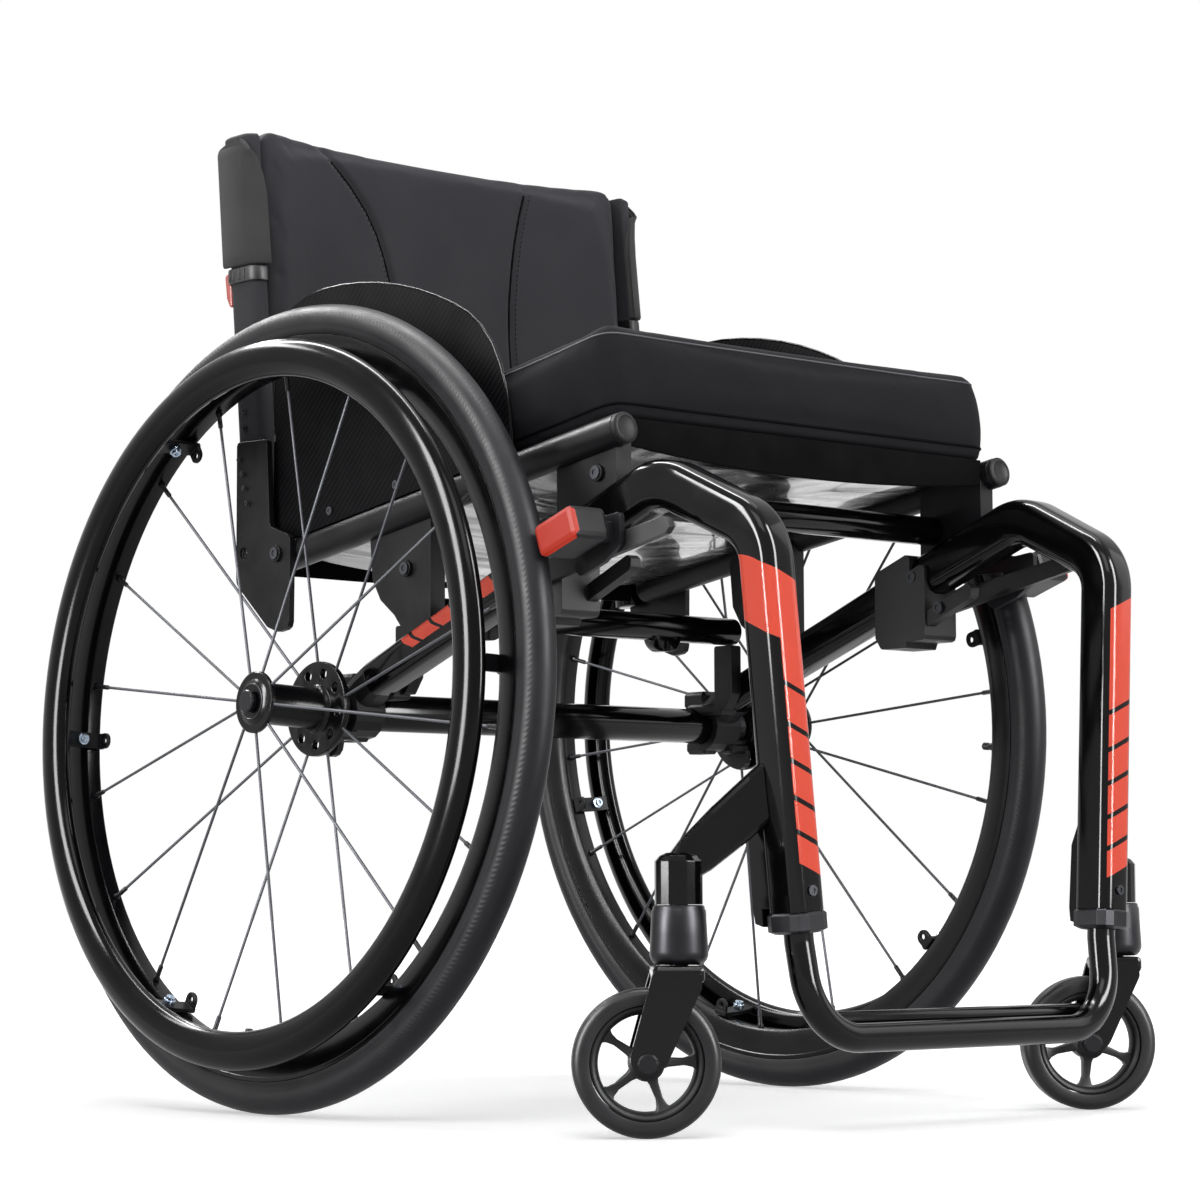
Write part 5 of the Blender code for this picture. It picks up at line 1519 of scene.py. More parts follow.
@dataclass
class Cushion:
    """Seat cushion: a foam block in a knitted cover, swollen by a cloth simulation."""

    half_x: float = 0.1920
    front_y: float = -0.2985
    rear_y: float = 0.0700
    top: float = 0.0782
    wedge: float = 0.0040
    corner: float = 0.0145
    belly: float = 0.0048
    edge: float = 0.0045
    upper_edge: float = 0.0072
    crown: float = 0.0030
    piping_level: float = 0.0085
    voxel: float = 0.0045
    cap: float = 0.0016
    pressure: float = 1.2

    @property
    def stand(self) -> Matrix:
        """Frame of the cushion's lower face, which lies on the sloping rails.

        Returns:
            The frame.
        """
        beside = RAIL_X - (self.half_x - 0.002)
        bottom = (math.sqrt(RAIL_R ** 2 - beside ** 2) + 0.0003) / math.cos(math.atan(RAIL_SLOPE))
        middle = (self.front_y + self.rear_y) / 2
        return Matrix.Translation((0, middle, rail_z(middle) + bottom)) @ Matrix.Rotation(
            -math.atan(RAIL_SLOPE), 4, "X")

    @property
    def height(self) -> float:
        """Height of the block square to its lower face."""
        foot = self.stand.translation.z - rail_z((self.front_y + self.rear_y) / 2)
        return (self.top - foot) * math.cos(math.atan(RAIL_SLOPE))

    def outline(self, inset: float, count: int = 16) -> Outline:
        """Rounded outline of the block, drawn in by an inset.

        Args:
            inset: How far it is drawn in.
            count: Steps along each side.

        Returns:
            Its points in the block's own frame.
        """
        long = (self.rear_y - self.front_y) / math.cos(math.atan(RAIL_SLOPE)) / 2 - inset
        wide = self.half_x - inset
        corners = [(wide, long), (-wide, long), (-wide, -long), (wide, -long)]
        loop = rounded_loop(corners, [max(0.006, self.corner - inset)] * 4, 6)
        points = []
        for k, here in enumerate(loop):
            after = loop[(k + 1) % len(loop)]
            steps = count if math.dist(here, after) > 0.05 else 1
            points += [(here[0] + (after[0] - here[0]) * n / steps,
                        here[1] + (after[1] - here[1]) * n / steps) for n in range(steps)]
        return points

    def inset_at(self, share: float) -> float:
        """How far the side is drawn in at a share of the height."""
        return self.belly * (2 * share - 1) ** 2

    def body(self) -> Mesh:
        """The cover's solid before it swells.

        Returns:
            The mesh.
        """
        rings, height = [], self.height - self.crown
        turns = [(1 - math.cos(math.radians(a)), 1 - math.sin(math.radians(a))) for a in (0, 25, 50, 75, 90)]
        for rise, lack in turns:
            drop = self.edge * rise
            inset = self.inset_at(drop / height) + self.edge * lack
            rings.append([Vector((x, y, drop)) for x, y in self.outline(inset)])
        for k in range(1, 14):
            z = self.edge + (height - self.edge - self.upper_edge) * k / 14
            rings.append([Vector((x, y, z)) for x, y in self.outline(self.inset_at(z / height))])
        for rise, lack in reversed(turns):
            drop = self.upper_edge * rise
            inset = self.inset_at(1 - drop / height) + self.upper_edge * lack
            rings.append([Vector((x, y, height - drop)) for x, y in self.outline(inset)])
        for k in range(1, 12):
            share = 1 - k / 12
            rise = self.crown * (1 - share ** 2) ** 0.8
            rings.append([Vector((x * share, y * share, height + rise))
                          for x, y in self.outline(self.belly + self.upper_edge)])
        rings = [[self.lifted(point) for point in ring] for ring in rings]
        data = skin(rings)
        data.transform(self.stand)
        return data

    def lifted(self, point: Vector) -> Vector:
        """Move a point of the even block to its place in the one that thickens toward the front."""
        long = (self.rear_y - self.front_y) / 2
        return point + Vector((0, 0, self.wedge * point.z / self.height * (0.5 - point.y / (2 * long))))

    def build(self) -> None:
        """Make the cushion with its piping."""
        cover = swell(self.body(), self.voxel, self.pressure, self.cap, hold=under_rails)
        low = self.cord(cover, self.piping_level, 0.0010)
        # The upper cord is a painted highlight: a pale line where the rounded top edge catches the light.
        high = self.cord(cover, self.height - self.crown - self.upper_edge, 0.0007)
        # The cover's knit is a darker copy of the back's, which paints in shade.
        piece = dress("cushion_cover", cover, "knit_painted_shade", "frame", "fabric", ("seat_cushion",), 75)
        dress("cushion_piping", low, "edge_webbing", "frame", "fabric")
        dress("cushion_edge_tape", high, "edge_tape", "frame", "fabric")

    def cord(self, cover: Mesh, level: float, radius: float) -> Mesh:
        """Thin cord sewn round the cover's side.

        Args:
            cover: The finished cover.
            level: The cord's height above the lower face.
            radius: Its radius.

        Returns:
            The cord.
        """
        tree = caught(cover)
        path = []
        for x, y in self.outline(0.0, 40):
            deep = self.lifted(Vector((x, y, level))).z
            start = self.stand @ Vector((x * 1.08, y * 1.08, deep))
            way = (self.stand @ Vector((x * 0.3, y * 0.3, deep)) - start).normalized()
            hit, normal, _, _ = tree.ray_cast(start, way)
            if hit is not None:
                path.append(hit + normal * radius * 0.15)
        return sweep(path, radius, 8, closed=True)


def under_rails(point: Vector) -> bool:
    """Whether a point of the cushion lies on the rails, where it stays flat."""
    return point.z < rail_z(point.y) + RAIL_R + 0.006


# Frames of the cloth simulation, and how much of its shift a held point keeps.
SWELL_FRAMES, HELD_SHARE = 20, 0.15


def swell(data: Mesh, voxel: float, pressure: float, cap: float,
          hold: Callable[[Vector], bool] | None = None) -> Mesh:
    """Swell a closed cover as foam fills it.

    Args:
        data: The cover's closed mesh.
        voxel: Size of the remesh's cells.
        pressure: Pressure inside it.
        cap: How far a point may move.
        hold: Test of a point that is held, and keeps a small share of its shift.

    Returns:
        The swollen mesh, subdivided once.
    """
    holder = linked("cover", data)
    remesh = holder.modifiers.new("cells", "REMESH")
    remesh.mode = "VOXEL"
    remesh.voxel_size = voxel
    bpy.context.view_layer.update()
    cells = evaluated(holder)
    holder.data = cells
    rest = [v.co.copy() for v in cells.vertices]
    cloth = holder.modifiers.new("cloth", "CLOTH")
    cloth.settings.use_pressure = True
    cloth.settings.uniform_pressure_force = pressure
    cloth.settings.effector_weights.gravity = 0
    cloth.settings.quality = 5
    cloth.point_cache.frame_start, cloth.point_cache.frame_end = 1, SWELL_FRAMES
    scene = bpy.context.scene
    for number in range(1, SWELL_FRAMES + 1):
        scene.frame_set(number)
    moved = evaluated(holder)
    scene.frame_set(1)
    for vertex, old, new in zip(cells.vertices, rest, moved.vertices):
        shift = new.co - old
        if shift.length > cap:
            shift = shift.normalized() * cap
        if hold is not None and hold(old):
            shift = shift * HELD_SHARE
        vertex.co = old + shift
    smooth = holder.modifiers.new("smooth", "SUBSURF")
    smooth.levels = smooth.render_levels = 1
    bpy.context.view_layer.update()
    result = evaluated(holder)
    bpy.data.objects.remove(holder, do_unlink=True)
    return result


def table(value: float, rows: Points) -> float:
    """Read a value from a table of rising keys, with straight lines between its rows.

    Args:
        value: The key.
        rows: Rows of key and value.

    Returns:
        The value at the key.
    """
    if value <= rows[0][0]:
        return rows[0][1]
    for (a, x), (b, y) in zip(rows, rows[1:]):
        if value <= b:
            return x + (y - x) * (value - a) / (b - a)
    return rows[-1][1]


@dataclass
class Backrest:
    """Back upholstery with its sewn seams, its side strips, post sleeves, posts and bar."""

    bottom_z: float = 0.4980
    top_z: float = 0.7520
    hollow: float = 0.0250
    round_r: float = 0.0145
    voxel: float = 0.0042
    cap: float = 0.0035
    pressure: float = 2.0
    # Seams as (x, z) points: the left one, and the right one with x counted to the right.
    seam_left: Points = (
        (0.098, 0.7500), (0.0925, 0.735), (0.0860, 0.7150), (0.080, 0.692), (0.0750, 0.666),
        (0.0710, 0.640), (0.0690, 0.610), (0.0690, 0.575), (0.0700, 0.540), (0.0720, 0.505))
    seam_right: Points = (
        (0.1210, 0.7500), (0.1100, 0.735), (0.0900, 0.718), (0.0740, 0.700), (0.0640, 0.683),
        (0.0570, 0.6640), (0.0510, 0.640), (0.0490, 0.610), (0.0520, 0.575), (0.0590, 0.540),
        (0.0660, 0.505))
    # How deep a seam is pressed in, half its width, and how far its pull is felt.
    seam_depth: float = 0.0034
    seam_half: float = 0.0030
    seam_reach: float = 0.012
    wing: float = 0.0092
    shoulder: float = 0.0220
    rear_shoulder: float = 0.0080
    panel_thick: float = 0.0290
    # Heights of the post's ends and of its pivot, and where the pivot's pin ends.
    post_ends: tuple[float, float] = (0.3960, 0.7420)
    pivot_z: float = 0.4160
    pivot_end_x: float = 0.2049
    flap_top_z: float = 0.5040
    flap_drop: float = 0.1050

    @property
    def half(self) -> float:
        """Half the panel's width, from post to post."""
        return POST_X - POST_R - 0.0003

    def drawn_in(self, z: float, radius: float) -> float:
        """How far a rounded upper corner lies inside the full width at height z.

        Args:
            z: The height.
            radius: Radius of the corner.

        Returns:
            The distance.
        """
        over = max(0.0, z - (self.top_z - radius))
        return radius - math.sqrt(max(0.0, radius ** 2 - over ** 2))

    def face_y(self, x: float, z: float) -> float:
        """Depth of the panel's front face, which rounds back at its sides.

        Args:
            x: Distance from the middle.
            z: The height.

        Returns:
            The depth.
        """
        full = self.half + self.wing
        over = max(0.0, abs(x) - (full - self.round_r))
        back = self.round_r - math.sqrt(max(0.0, self.round_r ** 2 - over ** 2))
        return post_y(z) - self.panel_thick + self.hollow * (1 - (x / full) ** 2) + back

    def panel(self) -> Mesh:
        """The panel's solid before it swells.

        Returns:
            The mesh.
        """
        inset = 0.0010
        rings = []
        levels, columns = 60, 72
        for j in range(levels + 1):
            share = j / levels
            z = self.bottom_z + inset + (self.top_z - self.bottom_z - 2 * inset) * share
            low = max(0.0, 1 - share * levels / 3.0) ** 1.5
            high = max(0.0, 1 - (1 - share) * levels / 2.4) ** 1.5
            wide = self.half + self.wing - inset - self.drawn_in(z, self.shoulder)
            behind = self.half - inset - self.drawn_in(z, self.rear_shoulder)
            front = []
            for k in range(columns + 1):
                x = wide * (2 * k / columns - 1)
                front.append(Vector((x, self.face_y(x, z) + inset + 0.006 * low + 0.001 * high, z)))
            shelf = max(post_y(z) - POST_R - 0.0012, front[0].y + 0.0006)
            back = []
            for k in range(columns + 1):
                x = behind * (2 * k / columns - 1)
                rear = post_y(z) + 0.0015 + self.hollow * (1 - (x / self.half) ** 2)
                back.append(Vector((x, max(rear - inset - 0.006 * low - 0.008 * high, shelf + 0.0004), z)))
            right = [Vector((wide, shelf, z)), Vector((behind, shelf + 0.0002, z))]
            left = [Vector((-behind, shelf + 0.0002, z)), Vector((-wide, shelf, z))]
            rings.append(front + right + list(reversed(back)) + left)
        return skin(rings)

    def groove(self, data: Mesh) -> None:
        """Press the two seams into the panel's front.

        Args:
            data: The swollen panel.
        """
        for sign, seam in ((1, self.seam_left), (-1, self.seam_right)):
            line = [Vector((sign * x, z)) for x, z in seam]
            for vertex in data.vertices:
                if vertex.co.y > self.face_y(vertex.co.x, vertex.co.z) + 0.010:
                    continue
                spot = Vector((vertex.co.x, vertex.co.z))
                near = min(distance_to(spot, a, b) for a, b in zip(line, line[1:]))
                if near < self.seam_reach:
                    vertex.co.y += self.seam_depth * math.exp(-(near / self.seam_half) ** 2)

    def seams(self, cover: Mesh) -> tuple[Mesh, Mesh]:
        """Dark tape in both seams with a row of stitches beside each.

        Args:
            cover: The grooved cover.

        Returns:
            The tapes and the stitches.
        """
        tree = caught(cover)
        tapes, rows = [], []
        for sign, seam in ((1, self.seam_left), (-1, self.seam_right)):
            for aside in (0.0, 0.0045):
                path = []
                for (x0, z0), (x1, z1) in zip(seam[1:], seam[2:]):
                    for n in range(6):
                        x, z = x0 + (x1 - x0) * n / 6 + aside, z0 + (z1 - z0) * n / 6
                        hit, _, _, _ = tree.ray_cast(Vector((sign * x, -0.05, z)), Vector((0, 1, 0)))
                        if hit is not None:
                            path.append(hit)
                if aside:
                    rows.append(REPEAT.stitches(path, 0.0042, 0.0028, 0.00035, "edge_webbing"))
                else:
                    tapes.append(sweep(path, 0.0010, 8))
        return merged(tapes), merged(rows)

    def ring(self, outline: Outline, z: float) -> list[Vector]:
        """Points at height z, whose depth counts from the post's centre line."""
        return [Vector((x, post_y(z) + deep, z)) for x, deep in outline]

    def strip(self) -> Mesh:
        """The left side strip: a flap round the post's outer side and front.

        Returns:
            The mesh.
        """
        lip = ((0.695, 0.1880), (0.710, 0.1900), (0.7247, 0.1942), (0.7290, 0.1998))
        fore = ((0.6400, -0.0325), (0.7000, -0.0310), (0.7290, -0.0290), (0.7330, -0.0262), (0.7370, -0.0220),
                (0.7391, -0.0190))
        rear = ((0.7299, 0.0112), (0.7336, 0.0090), (0.7368, -0.0005), (0.7388, -0.0150), (0.7391, -0.0170))
        foot, out, thin = 0.6400, 0.2040, 0.0037
        heights = [foot, 0.6404, 0.6415] + [0.6415 + 0.0535 * k / 6 for k in range(1, 7)]
        heights += [0.6950 + 0.0341 * k / 12 for k in range(1, 13)]
        heights += [0.7291 + 0.0100 * k / 8 for k in range(1, 9)]
        rows = []
        for z in heights:
            inner, front, back = table(z, lip), table(z, fore), table(z, rear)
            pinch = max(0.0, 1 - (z - foot) / 0.0012) * 0.0008
            radius = min(0.0155, out - inner - 0.0006, back - front - 0.0004)
            points = [(out - thin + pinch, back - pinch), (out - 0.0012, back - pinch),
                      (out - pinch, back - 0.0012)]
            for n in range(11):
                a = math.radians(9 * n)
                points.append((out - radius + (radius - pinch) * math.cos(a),
                               front + radius - (radius - pinch) * math.sin(a)))
            points += [(inner + 0.0010, front + 0.0030 + pinch), (inner, front + 0.0040),
                       (inner, front + 0.0028 + thin - pinch)]
            small = max(0.0002, radius - thin)
            for n in range(10, -1, -1):
                a = math.radians(9 * n)
                points.append((out - thin - small + small * math.cos(a),
                               front + thin + small - small * math.sin(a)))
            rows.append(self.ring(points, z))
        return skin(rows)

    def sleeve(self) -> Mesh:
        """The left post's knitted sleeve, which the strip covers above.

        Returns:
            The mesh.
        """
        rows = []
        foot, top = 0.4310, 0.7442
        heights = [foot, 0.4315, 0.4330] + [0.4330 + 0.3080 * k / 12 for k in range(1, 13)]
        heights += [0.7425, 0.7438, top]
        for z in heights:
            end = max(0.0, 1 - min(z - foot, top - z) / 0.0030)
            pinch = 0.0030 * end ** 2
            outline = rounded_loop([
                (0.1786 + pinch, 0.0112 - pinch), (0.1786 + pinch, -0.0110), (0.1880, -0.0110),
                (0.1880, -0.0262 + pinch), (0.2000 - pinch, -0.0262 + pinch),
                (0.2000 - pinch, 0.0112 - pinch)],
                [0.0070, 0.0005, 0.0005, 0.0030, 0.0085, 0.0095], 8)
            rows.append(self.ring(outline, z))
        return skin(rows)

    def collar(self) -> Mesh:
        """The left post's moulded collar under the strip, with its ribs.

        Returns:
            The mesh.
        """
        rows = []
        for z, grow in ((0.6268, 0.0), (0.6272, 0.0010), (0.6285, 0.0014), (0.6370, 0.0014), (0.6386, 0.0010),
                        (0.6390, 0.0)):
            outline = rounded_loop([(0.1879, 0.0116 + grow), (0.1879, -0.0266 - grow),
                                    (0.2004 + grow, -0.0266 - grow), (0.2004 + grow, 0.0116 + grow)],
                                   [0.0020, 0.0030, 0.0090, 0.0095], 8)
            rows.append(self.ring(outline, z))
        ring = skin(rows)
        ribs = []
        for deep in (-0.0140, -0.0080, 0.0000, 0.0050):
            y = post_y(0.6330) + deep
            ribs.append(block((0.2012, y - 0.0009, 0.6290), (0.2026, y + 0.0009, 0.6372), 0.0004, 2))
        return merged([ring, *ribs])

    def tab(self) -> Mesh:
        """The coral pull tab behind the left post.

        Returns:
            The mesh.
        """
        outline = rounded_loop([(0.0115, 0.6390), (0.0195, 0.6360), (0.0185, 0.6180), (0.0120, 0.6040)],
                               [0.001, 0.003, 0.004, 0.002], 5)
        outline = [(post_y(z) + deep, z) for deep, z in outline]
        return pierced_plate([outline], 0.0120, 0.0012, side_plane(0.1900))

    def flap(self) -> Mesh:
        """Cloth flap that hangs from the panel's lower edge behind the cushion.

        Returns:
            The mesh.
        """
        columns, rows, half = 48, 16, self.half - 0.0016
        grids = []
        for thick in (0.0, 0.0022):
            grid = []
            for j in range(rows + 1):
                z = self.flap_top_z - self.flap_drop * j / rows
                line = []
                for k in range(columns + 1):
                    x = half * (2 * k / columns - 1)
                    drop = j / rows
                    wave = 0.0011 * math.sin(x * 52 + 0.6) * drop
                    top = self.face_y(min(abs(x), 0.160), self.flap_top_z) + 0.0110
                    y = top + (0.0905 - top) * min(1.0, drop * 1.4) + wave + thick
                    line.append(Vector((x, y, z)))
                grid.append(line)
            grids.append(grid)
        bm = bmesh.new()
        front, back = ([[bm.verts.new(p) for p in line] for line in grid] for grid in grids)
        for j in range(rows):
            for k in range(columns):
                bm.faces.new((front[j][k], front[j][k + 1], front[j + 1][k + 1], front[j + 1][k]))
                bm.faces.new((back[j][k], back[j + 1][k], back[j + 1][k + 1], back[j][k + 1]))
        edge_walls(bm, front, back)
        return close(bm)

    def build(self) -> None:
        """Make and dress the backrest."""
        cover = swell(self.panel(), self.voxel, self.pressure, self.cap)
        self.groove(cover)
        seams, threads = self.seams(cover)
        piece = dress("back_cover", cover, "spacer_knit", "backrest", "fabric", ("back_upholstery",), 75)
        dress("back_seams", seams, "edge_webbing", "backrest", "fabric")
        dress("back_stitches", threads, "edge_webbing", "backrest", "fabric")
        hung = dress("back_flap", self.flap(), "edge_webbing", "backrest", "fabric")
        post = rod(*((POST_X, post_y(z), z) for z in self.post_ends), POST_R, 0.0015)
        pin = rod(*((x, post_y(self.pivot_z), self.pivot_z) for x in (POST_X, self.pivot_end_x)), 0.0042,
                  0.0005, 24)
        made = {
            # The side strips' paler nylon is partly painted light.
            "back_side_pad": (self.strip(), "nylon_tone_and_painted_light", "fabric", ("back_strip",), 50),
            "back_post_sleeve": (self.sleeve(), "spacer_knit", "fabric", (), 60),
            "back_post_collar": (self.collar(), "moulded_nylon", "plastic", (), 40),
            "back_pull_tab": (self.tab(), "coral_plastic", "coral", (), 40),
            "back_post_tube": (merged([post, pin]), "frame_lacquer", "frame", ("back_post",), 40),
        }
        dots = [(Vector((side.value * 0.2002, y, z)), Vector((side.value, 0, 0)))
                for side in Side for y, z in ((0.1180, 0.5412), (0.1164, 0.5269), (0.1150, 0.5129))]
        dress("back_sleeve_studs", REPEAT.screws(dots, 0.0026, 0.0012, "black_oxide"), "black_oxide",
              "backrest", "hardware", sharp_deg=30)
        for name, piece in dress_both("backrest", made).items():
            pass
        bar = rod((-0.1779, post_y(0.455), 0.455), (0.1779, post_y(0.455), 0.455), 0.0080)
        dress("back_bar_tube", bar, "frame_lacquer", "backrest", "frame", ("back_bar",))


def distance_to(spot: Vector, a: Vector, b: Vector) -> float:
    """Distance from a point to the line between a and b.

    Args:
        spot: The point.
        a: One end of the line.
        b: Its other end.

    Returns:
        The distance.
    """
    run = b - a
    share = max(0.0, min(1.0, (spot - a).dot(run) / run.length_squared))
    return (spot - a - run * share).length


@dataclass
class Sling:
    """Seat sling stretched between the rails, with its webbing hem."""

    thick: float = 0.0020
    sag: float = 0.0120
    crease: float = 0.0012
    front_y: float = -0.2940
    rear_y: float = 0.0740

    def build(self) -> None:
        """Make and dress the sling."""
        half = RAIL_X - RAIL_R - 0.0003
        columns, rows = 36, 36
        bm = bmesh.new()
        sheets = []
        for drop in (0.0, self.thick):
            grid = []
            for j in range(rows + 1):
                y = self.front_y + (self.rear_y - self.front_y) * j / rows
                line = []
                for k in range(columns + 1):
                    x = half * (2 * k / columns - 1)
                    bow = 1 - (x / half) ** 2
                    crease = self.crease * math.sin(x * 46 + y * 31) * math.cos(y * 22) * bow
                    line.append(bm.verts.new((x, y, rail_z(y) + 0.004 - self.sag * bow - drop + crease)))
                grid.append(line)
            sheets.append(grid)
        for grid, order in zip(sheets, (1, -1)):
            for j in range(rows):
                for k in range(columns):
                    bm.faces.new((grid[j][k], grid[j][k + 1], grid[j + 1][k + 1], grid[j + 1][k])[::order])
        edge_walls(bm, *sheets)
        piece = dress("sling_cloth", close(bm), "sling_film", "frame", "sling", ("seat_sling",), 60)
        hem = dress("sling_hem", self.hem(), "edge_webbing", "frame", "fabric", sharp_deg=50)

    def hem(self) -> Mesh:
        """Doubled webbing that binds the sling's front edge.

        Returns:
            The mesh.
        """
        half, rows = RAIL_X - RAIL_R - 0.0004, []
        for k in range(41):
            x = half * (2 * k / 40 - 1)
            bow = 1 - (x / half) ** 2
            top = rail_z(self.front_y) + 0.0104
            low = rail_z(self.front_y) - 0.0088 - 0.0090 * bow
            outline = rounded_loop([(self.front_y - 0.0036, low), (self.front_y - 0.0036, top),
                                    (self.front_y - 0.0008, top), (self.front_y - 0.0008, low)],
                                   [0.0012, 0.0003, 0.0003, 0.0012], 3)
            rows.append([Vector((x, y, z)) for y, z in outline])
        return skin(rows)


@dataclass
class SideGuard:
    """Clothes guard: a laminate sheet with a rolled edge, on the seat rail."""

    inner: float = 0.1945
    outer: float = 0.1965
    bead: float = 0.0012
    # The curved edge as (y, z) points, from its front foot over the top to the rear.
    edge: Points = (
        (-0.1965, 0.4638), (-0.1950, 0.4800), (-0.1930, 0.4950), (-0.1885, 0.5120), (-0.1825, 0.5285),
        (-0.1740, 0.5440), (-0.1620, 0.5575), (-0.1480, 0.5685), (-0.1310, 0.5775), (-0.1120, 0.5855),
        (-0.0910, 0.5930), (-0.0690, 0.5992), (-0.0460, 0.6040), (-0.0230, 0.6072), (0.0000, 0.6088),
        (0.0220, 0.6085), (0.0430, 0.6060), (0.0600, 0.6000), (0.0730, 0.5900), (0.0800, 0.5740),
        (0.0820, 0.5500))

    def outline(self) -> Outline:
        """Outline of the sheet as (y, z) points, closed along the rail.

        Returns:
            The points.
        """
        spot = abs(RAIL_X - (self.inner + self.outer) / 2) - 0.001
        lift = math.sqrt(RAIL_R ** 2 - spot ** 2) / math.cos(math.atan(RAIL_SLOPE)) + 0.0003
        rear, front = 0.0820, self.edge[0][0]
        points = list(self.edge)
        points.append((rear, rail_z(rear) + lift))
        points[0] = (front, rail_z(front) + lift)
        return points

    def build(self) -> None:
        """Make and dress both guards."""
        outline = self.outline()
        middle = (self.inner + self.outer) / 2
        sheet = pierced_plate([outline], self.outer - self.inner, 0.0004, side_plane(middle))
        bead = sweep([Vector((middle, y, z)) for y, z in outline], self.bead, 10)
        spots = [(Vector((self.outer + 0.0004, y, rail_z(y) + 0.020)), Vector((1, 0, 0)))
                 for y in (-0.1500, -0.0660, 0.0128)]
        dress_both("frame", {
            "guard_sheet": (sheet, "twill_laminate", "guard", ("side_guard",), 40),
            "guard_bead": (bead, "frame_lacquer", "guard", (), 40),
            "guard_bolts": (REPEAT.screws(spots, 0.0032, 0.0012, "black_oxide"), "black_oxide", "hardware",
                            (), 30),
        })


@dataclass
class Fasteners:
    """Screws that show on the frame, and the finishes of the nodes that stay.

    Each kind has its distance from the chair's middle, and its places as (y, z) points.
    """

    riser_x: float = 0.1935
    riser_screws: Points = ((-0.2800, 0.4420), (-0.0720, 0.3920))
    bracket_x: float = 0.2086
    bracket_y: float = 0.0656
    clamp_x: float = 0.1638
    clamp_screws: Points = ((-0.2380, 0.3950), (-0.2650, 0.3700))
    stud_x: float = 0.2084
    leg_screw: tuple[float, float, float] = (0.1535, -0.4449, 0.1580)
    studs: Points = (
        (0.1120, 0.4879), (0.1082, 0.4766), (0.1055, 0.4656), (0.1016, 0.4537))

    def build(self) -> None:
        """Make the screws and dress the nodes that stay."""
        spots, studs = [], []
        for s in (side.value for side in Side):
            out = Vector((s, 0, 0))
            spots += [(Vector((s * self.riser_x, y, z)), out) for y, z in self.riser_screws]
            spots += [(Vector((s * self.bracket_x, self.bracket_y, rail_z(self.bracket_y))), out)]
            spots += [(Vector((s * self.clamp_x, y, z)), -out) for y, z in self.clamp_screws]
            studs += [(Vector((s * self.stud_x, y, z)), out) for y, z in self.studs]
        x, y, z = self.leg_screw
        leg = [(Vector((s * x, y, z)), Vector((s * 0.05, -1, 0.02))) for s in (1, -1)]
        for name, places, radius, height in (("frame_screws", spots, 0.0046, 0.0016),
                                             ("bracket_studs", studs, 0.0020, 0.0010),
                                             ("leg_screws", leg, 0.0036, 0.0014)):
            dress(name, REPEAT.screws(places, radius, height, "black_oxide"), "black_oxide", "frame",
                  "hardware", sharp_deg=30)
        finishes = {
            "axle_bracket": "bracket_coat", "axle_button": "grey_anodised", "axle_pin": "grey_anodised",
            "axle_sleeve": "bushing_alloy", "back_bracket": "bracket_coat", "brake_arm": "brake_link",
            "brake_clamp": "moulded_nylon", "brake_lever": "moulded_nylon", "caster_arm": "frame_lacquer",
            "caster_axle": "grey_anodised", "caster_fork": "frame_lacquer", "front_riser": "bracket_coat",
            "leg_collar": "grey_anodised", "rear_riser": "bracket_coat",
        }
        for stem, finish in finishes.items():
            for side in Side:
                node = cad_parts[f"{stem}_{side.label}"]
                for place in node.material_slots:
                    place.material = finish_of(finish)


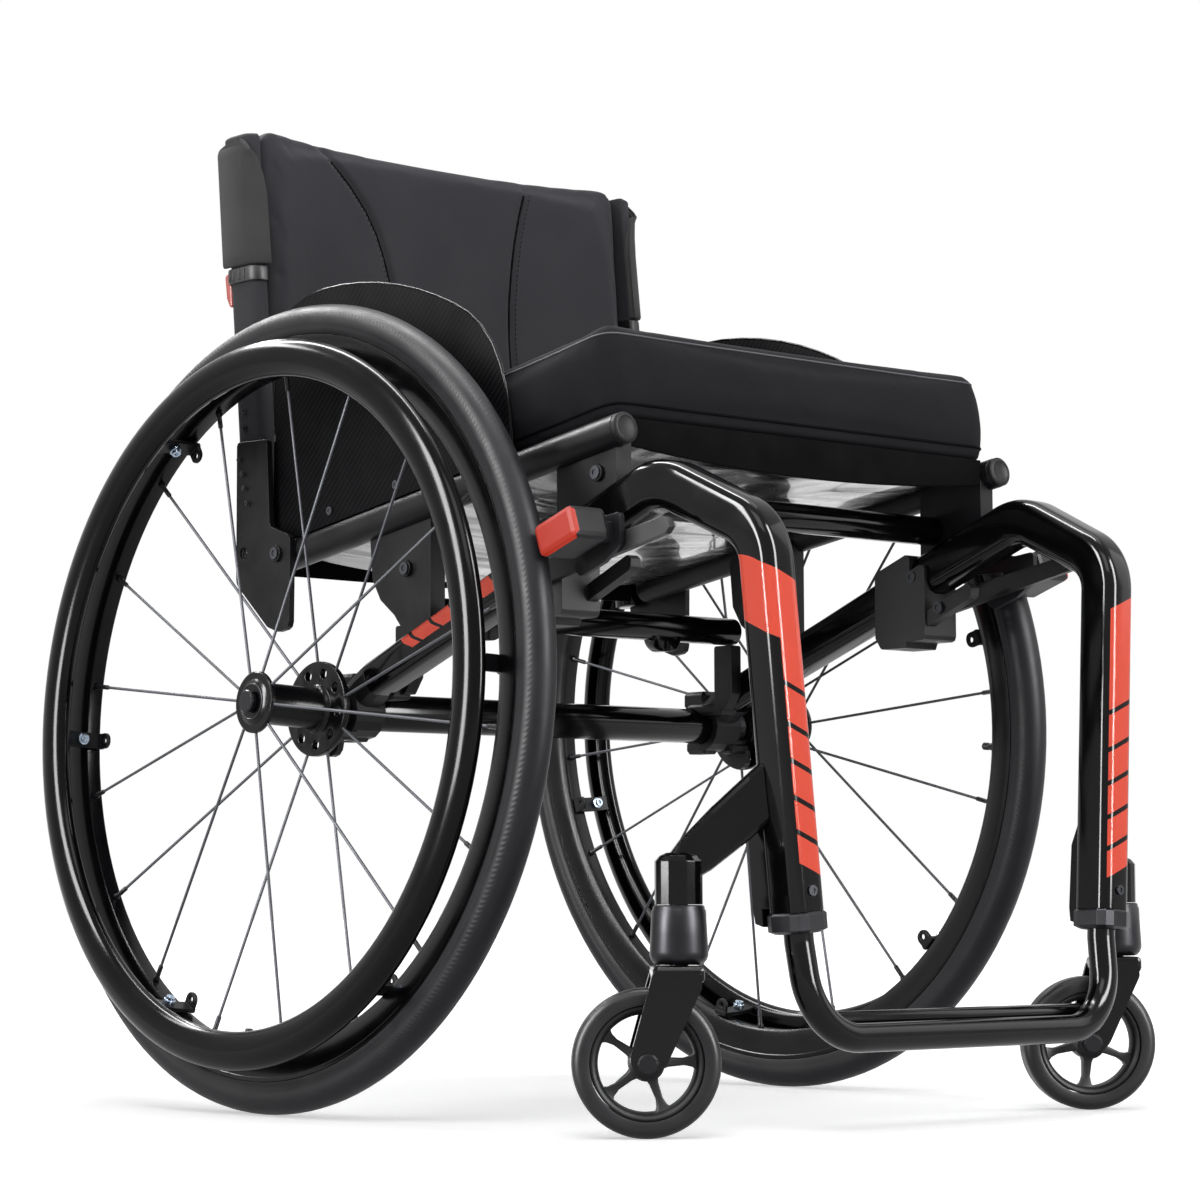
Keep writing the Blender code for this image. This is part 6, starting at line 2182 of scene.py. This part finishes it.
@dataclass(frozen=True)
class Studio:
    """Camera, floor, backdrop and lamps."""

    azimuth_deg: float = -41.776262
    pitch_deg: float = 4.984127
    roll_deg: float = -0.211
    lens_mm: float = 103.15
    sensor_mm: float = 36.0
    place: tuple[float, float, float] = (-1.73777929, -2.0133194, 0.15238578)

    def camera(self) -> Object:
        """Make the camera at the photograph's angle.

        Returns:
            The camera's object.
        """
        lens = bpy.data.cameras.new("camera")
        lens.lens = self.lens_mm
        lens.sensor_width = self.sensor_mm
        lens.sensor_fit = "HORIZONTAL"
        lens.clip_end = 50
        eye = linked("camera", lens)
        az, pitch, roll = (math.radians(v) for v in (self.azimuth_deg, self.pitch_deg, self.roll_deg))
        ahead = Vector((-math.sin(az) * math.cos(pitch), math.cos(az) * math.cos(pitch), math.sin(pitch)))
        level = Vector((math.cos(az), math.sin(az), 0))
        above = level.cross(ahead)
        right = level * math.cos(roll) + above * math.sin(roll)
        up = above * math.cos(roll) - level * math.sin(roll)
        turn = Matrix((right, up, -ahead)).transposed().to_4x4()
        turn.translation = Vector(self.place) + Vector((0, AXLE_Y, 0))
        eye.matrix_world = turn
        bpy.context.scene.camera = eye
        return eye

    def lamp(self, name: str, spot: tuple[float, float, float], aim: tuple[float, float, float],
             size: tuple[float, float], watts: float) -> Object:
        """Make one soft rectangular lamp.

        Args:
            name: The lamp's name.
            spot: Where it hangs.
            aim: The point that it faces.
            size: Its width and height.
            watts: Its power.

        Returns:
            The lamp's object.
        """
        data = bpy.data.lights.new(name, "AREA")
        data.shape = "RECTANGLE"
        data.size, data.size_y = size
        data.energy = watts
        lamp = linked(name, data)
        toward = Vector(aim) - Vector(spot)
        lamp.matrix_world = Matrix.Translation(spot) @ toward.to_track_quat("-Z", "Y").to_matrix().to_4x4()
        return lamp

    def backdrop_material(self) -> bpy.types.Material:
        """Pale paint that shows white to the camera and keeps the chair's shadow.

        Returns:
            The floor's material.
        """
        paint = bpy.data.materials.new("studio_floor_paint")
        tree = empty_tree(paint)
        plain = add_node(tree, "ShaderNodeBsdfDiffuse", {"Color": linear("f4f4f5")})
        path = add_node(tree, "ShaderNodeLightPath")
        spot = add_node(tree, "ShaderNodeTexCoord")
        far = add_node(tree, "ShaderNodeVectorMath", {0: spot.outputs["Object"]}, operation="LENGTH")
        lift = add_node(tree, "ShaderNodeMapRange", {"Value": far.outputs["Value"], "From Min": 0.6,
                                                     "From Max": 2.6, "To Min": 0.47, "To Max": 0.92})
        glow = add_node(tree, "ShaderNodeEmission", {"Color": linear("ffffff"), "Strength": lift.outputs[0]})
        seen = add_node(tree, "ShaderNodeAddShader", {0: plain.outputs[0], 1: glow.outputs[0]})
        ray = calc(tree, "MAXIMUM", path.outputs["Is Camera Ray"], path.outputs["Is Glossy Ray"])
        both = add_node(tree, "ShaderNodeMixShader", {0: ray, 1: plain.outputs[0], 2: seen.outputs[0]})
        add_node(tree, "ShaderNodeOutputMaterial", {"Surface": both.outputs[0]})
        return paint

    def build(self) -> None:
        """Make the whole studio."""
        self.camera()
        bpy.ops.mesh.primitive_plane_add(size=40, location=(0, 0, 0))
        floor = bpy.context.object
        floor.name = "studio_floor"
        floor.data.materials.append(self.backdrop_material())
        world = bpy.data.worlds.new("studio_air")
        bpy.context.scene.world = world
        tree = empty_tree(world)
        path = add_node(tree, "ShaderNodeLightPath")
        dim = add_node(tree, "ShaderNodeBackground", {"Color": linear("ffffff"), "Strength": 0.42})
        white = add_node(tree, "ShaderNodeBackground", {"Color": linear("ffffff"), "Strength": 1.0})
        ray = calc(tree, "MAXIMUM", path.outputs["Is Camera Ray"], path.outputs["Is Transmission Ray"])
        seen = calc(tree, "MAXIMUM", ray, path.outputs["Is Glossy Ray"])
        both = add_node(tree, "ShaderNodeMixShader", {0: seen, 1: dim.outputs[0], 2: white.outputs[0]})
        add_node(tree, "ShaderNodeOutputWorld", {"Surface": both.outputs[0]})
        self.lamp("key_lamp", (-1.6, -1.6, 2.6), (0, 0, 0.4), (1.4, 1.4), 30)
        self.lamp("top_lamp", (0.3, 0.2, 2.6), (0, 0, 0.3), (2.0, 1.2), 20)
        self.lamp("side_lamp", (2.2, -1.4, 1.5), (0, 0, 0.4), (1.2, 1.8), 12)
        # Strip boxes that only gloss shows: they draw the long bright lines on tubes and rims.
        for name, spot, size, watts in (("left_strip", (-2.6, 0.5, 1.3), (0.8, 2.4), 330),
                                        ("front_strip", (0.6, -2.6, 1.5), (0.8, 2.4), 280),
                                        ("back_strip", (-0.2, 2.1, 2.1), (2.6, 0.22), 60),
                                        ("over_strip", (-0.2, 0.9, 2.7), (0.3, 3.0), 130)):
            strip = self.lamp(name, spot, (0, 0, 0.4), size, watts)
            strip.visible_diffuse = False
        view = bpy.context.scene.view_settings
        view.view_transform = "Standard"


def main() -> None:
    """Build the studio and every sub-assembly in order."""
    Studio().build()
    for side in Side:
        RearWheel(side).build()
        Caster(side).build()
    SideFrame().build()
    Cushion().build()
    Backrest().build()
    Sling().build()
    SideGuard().build()
    Fasteners().build()


if __name__ == "__main__":
    logging.basicConfig(level=logging.INFO, format="%(message)s")
    main()
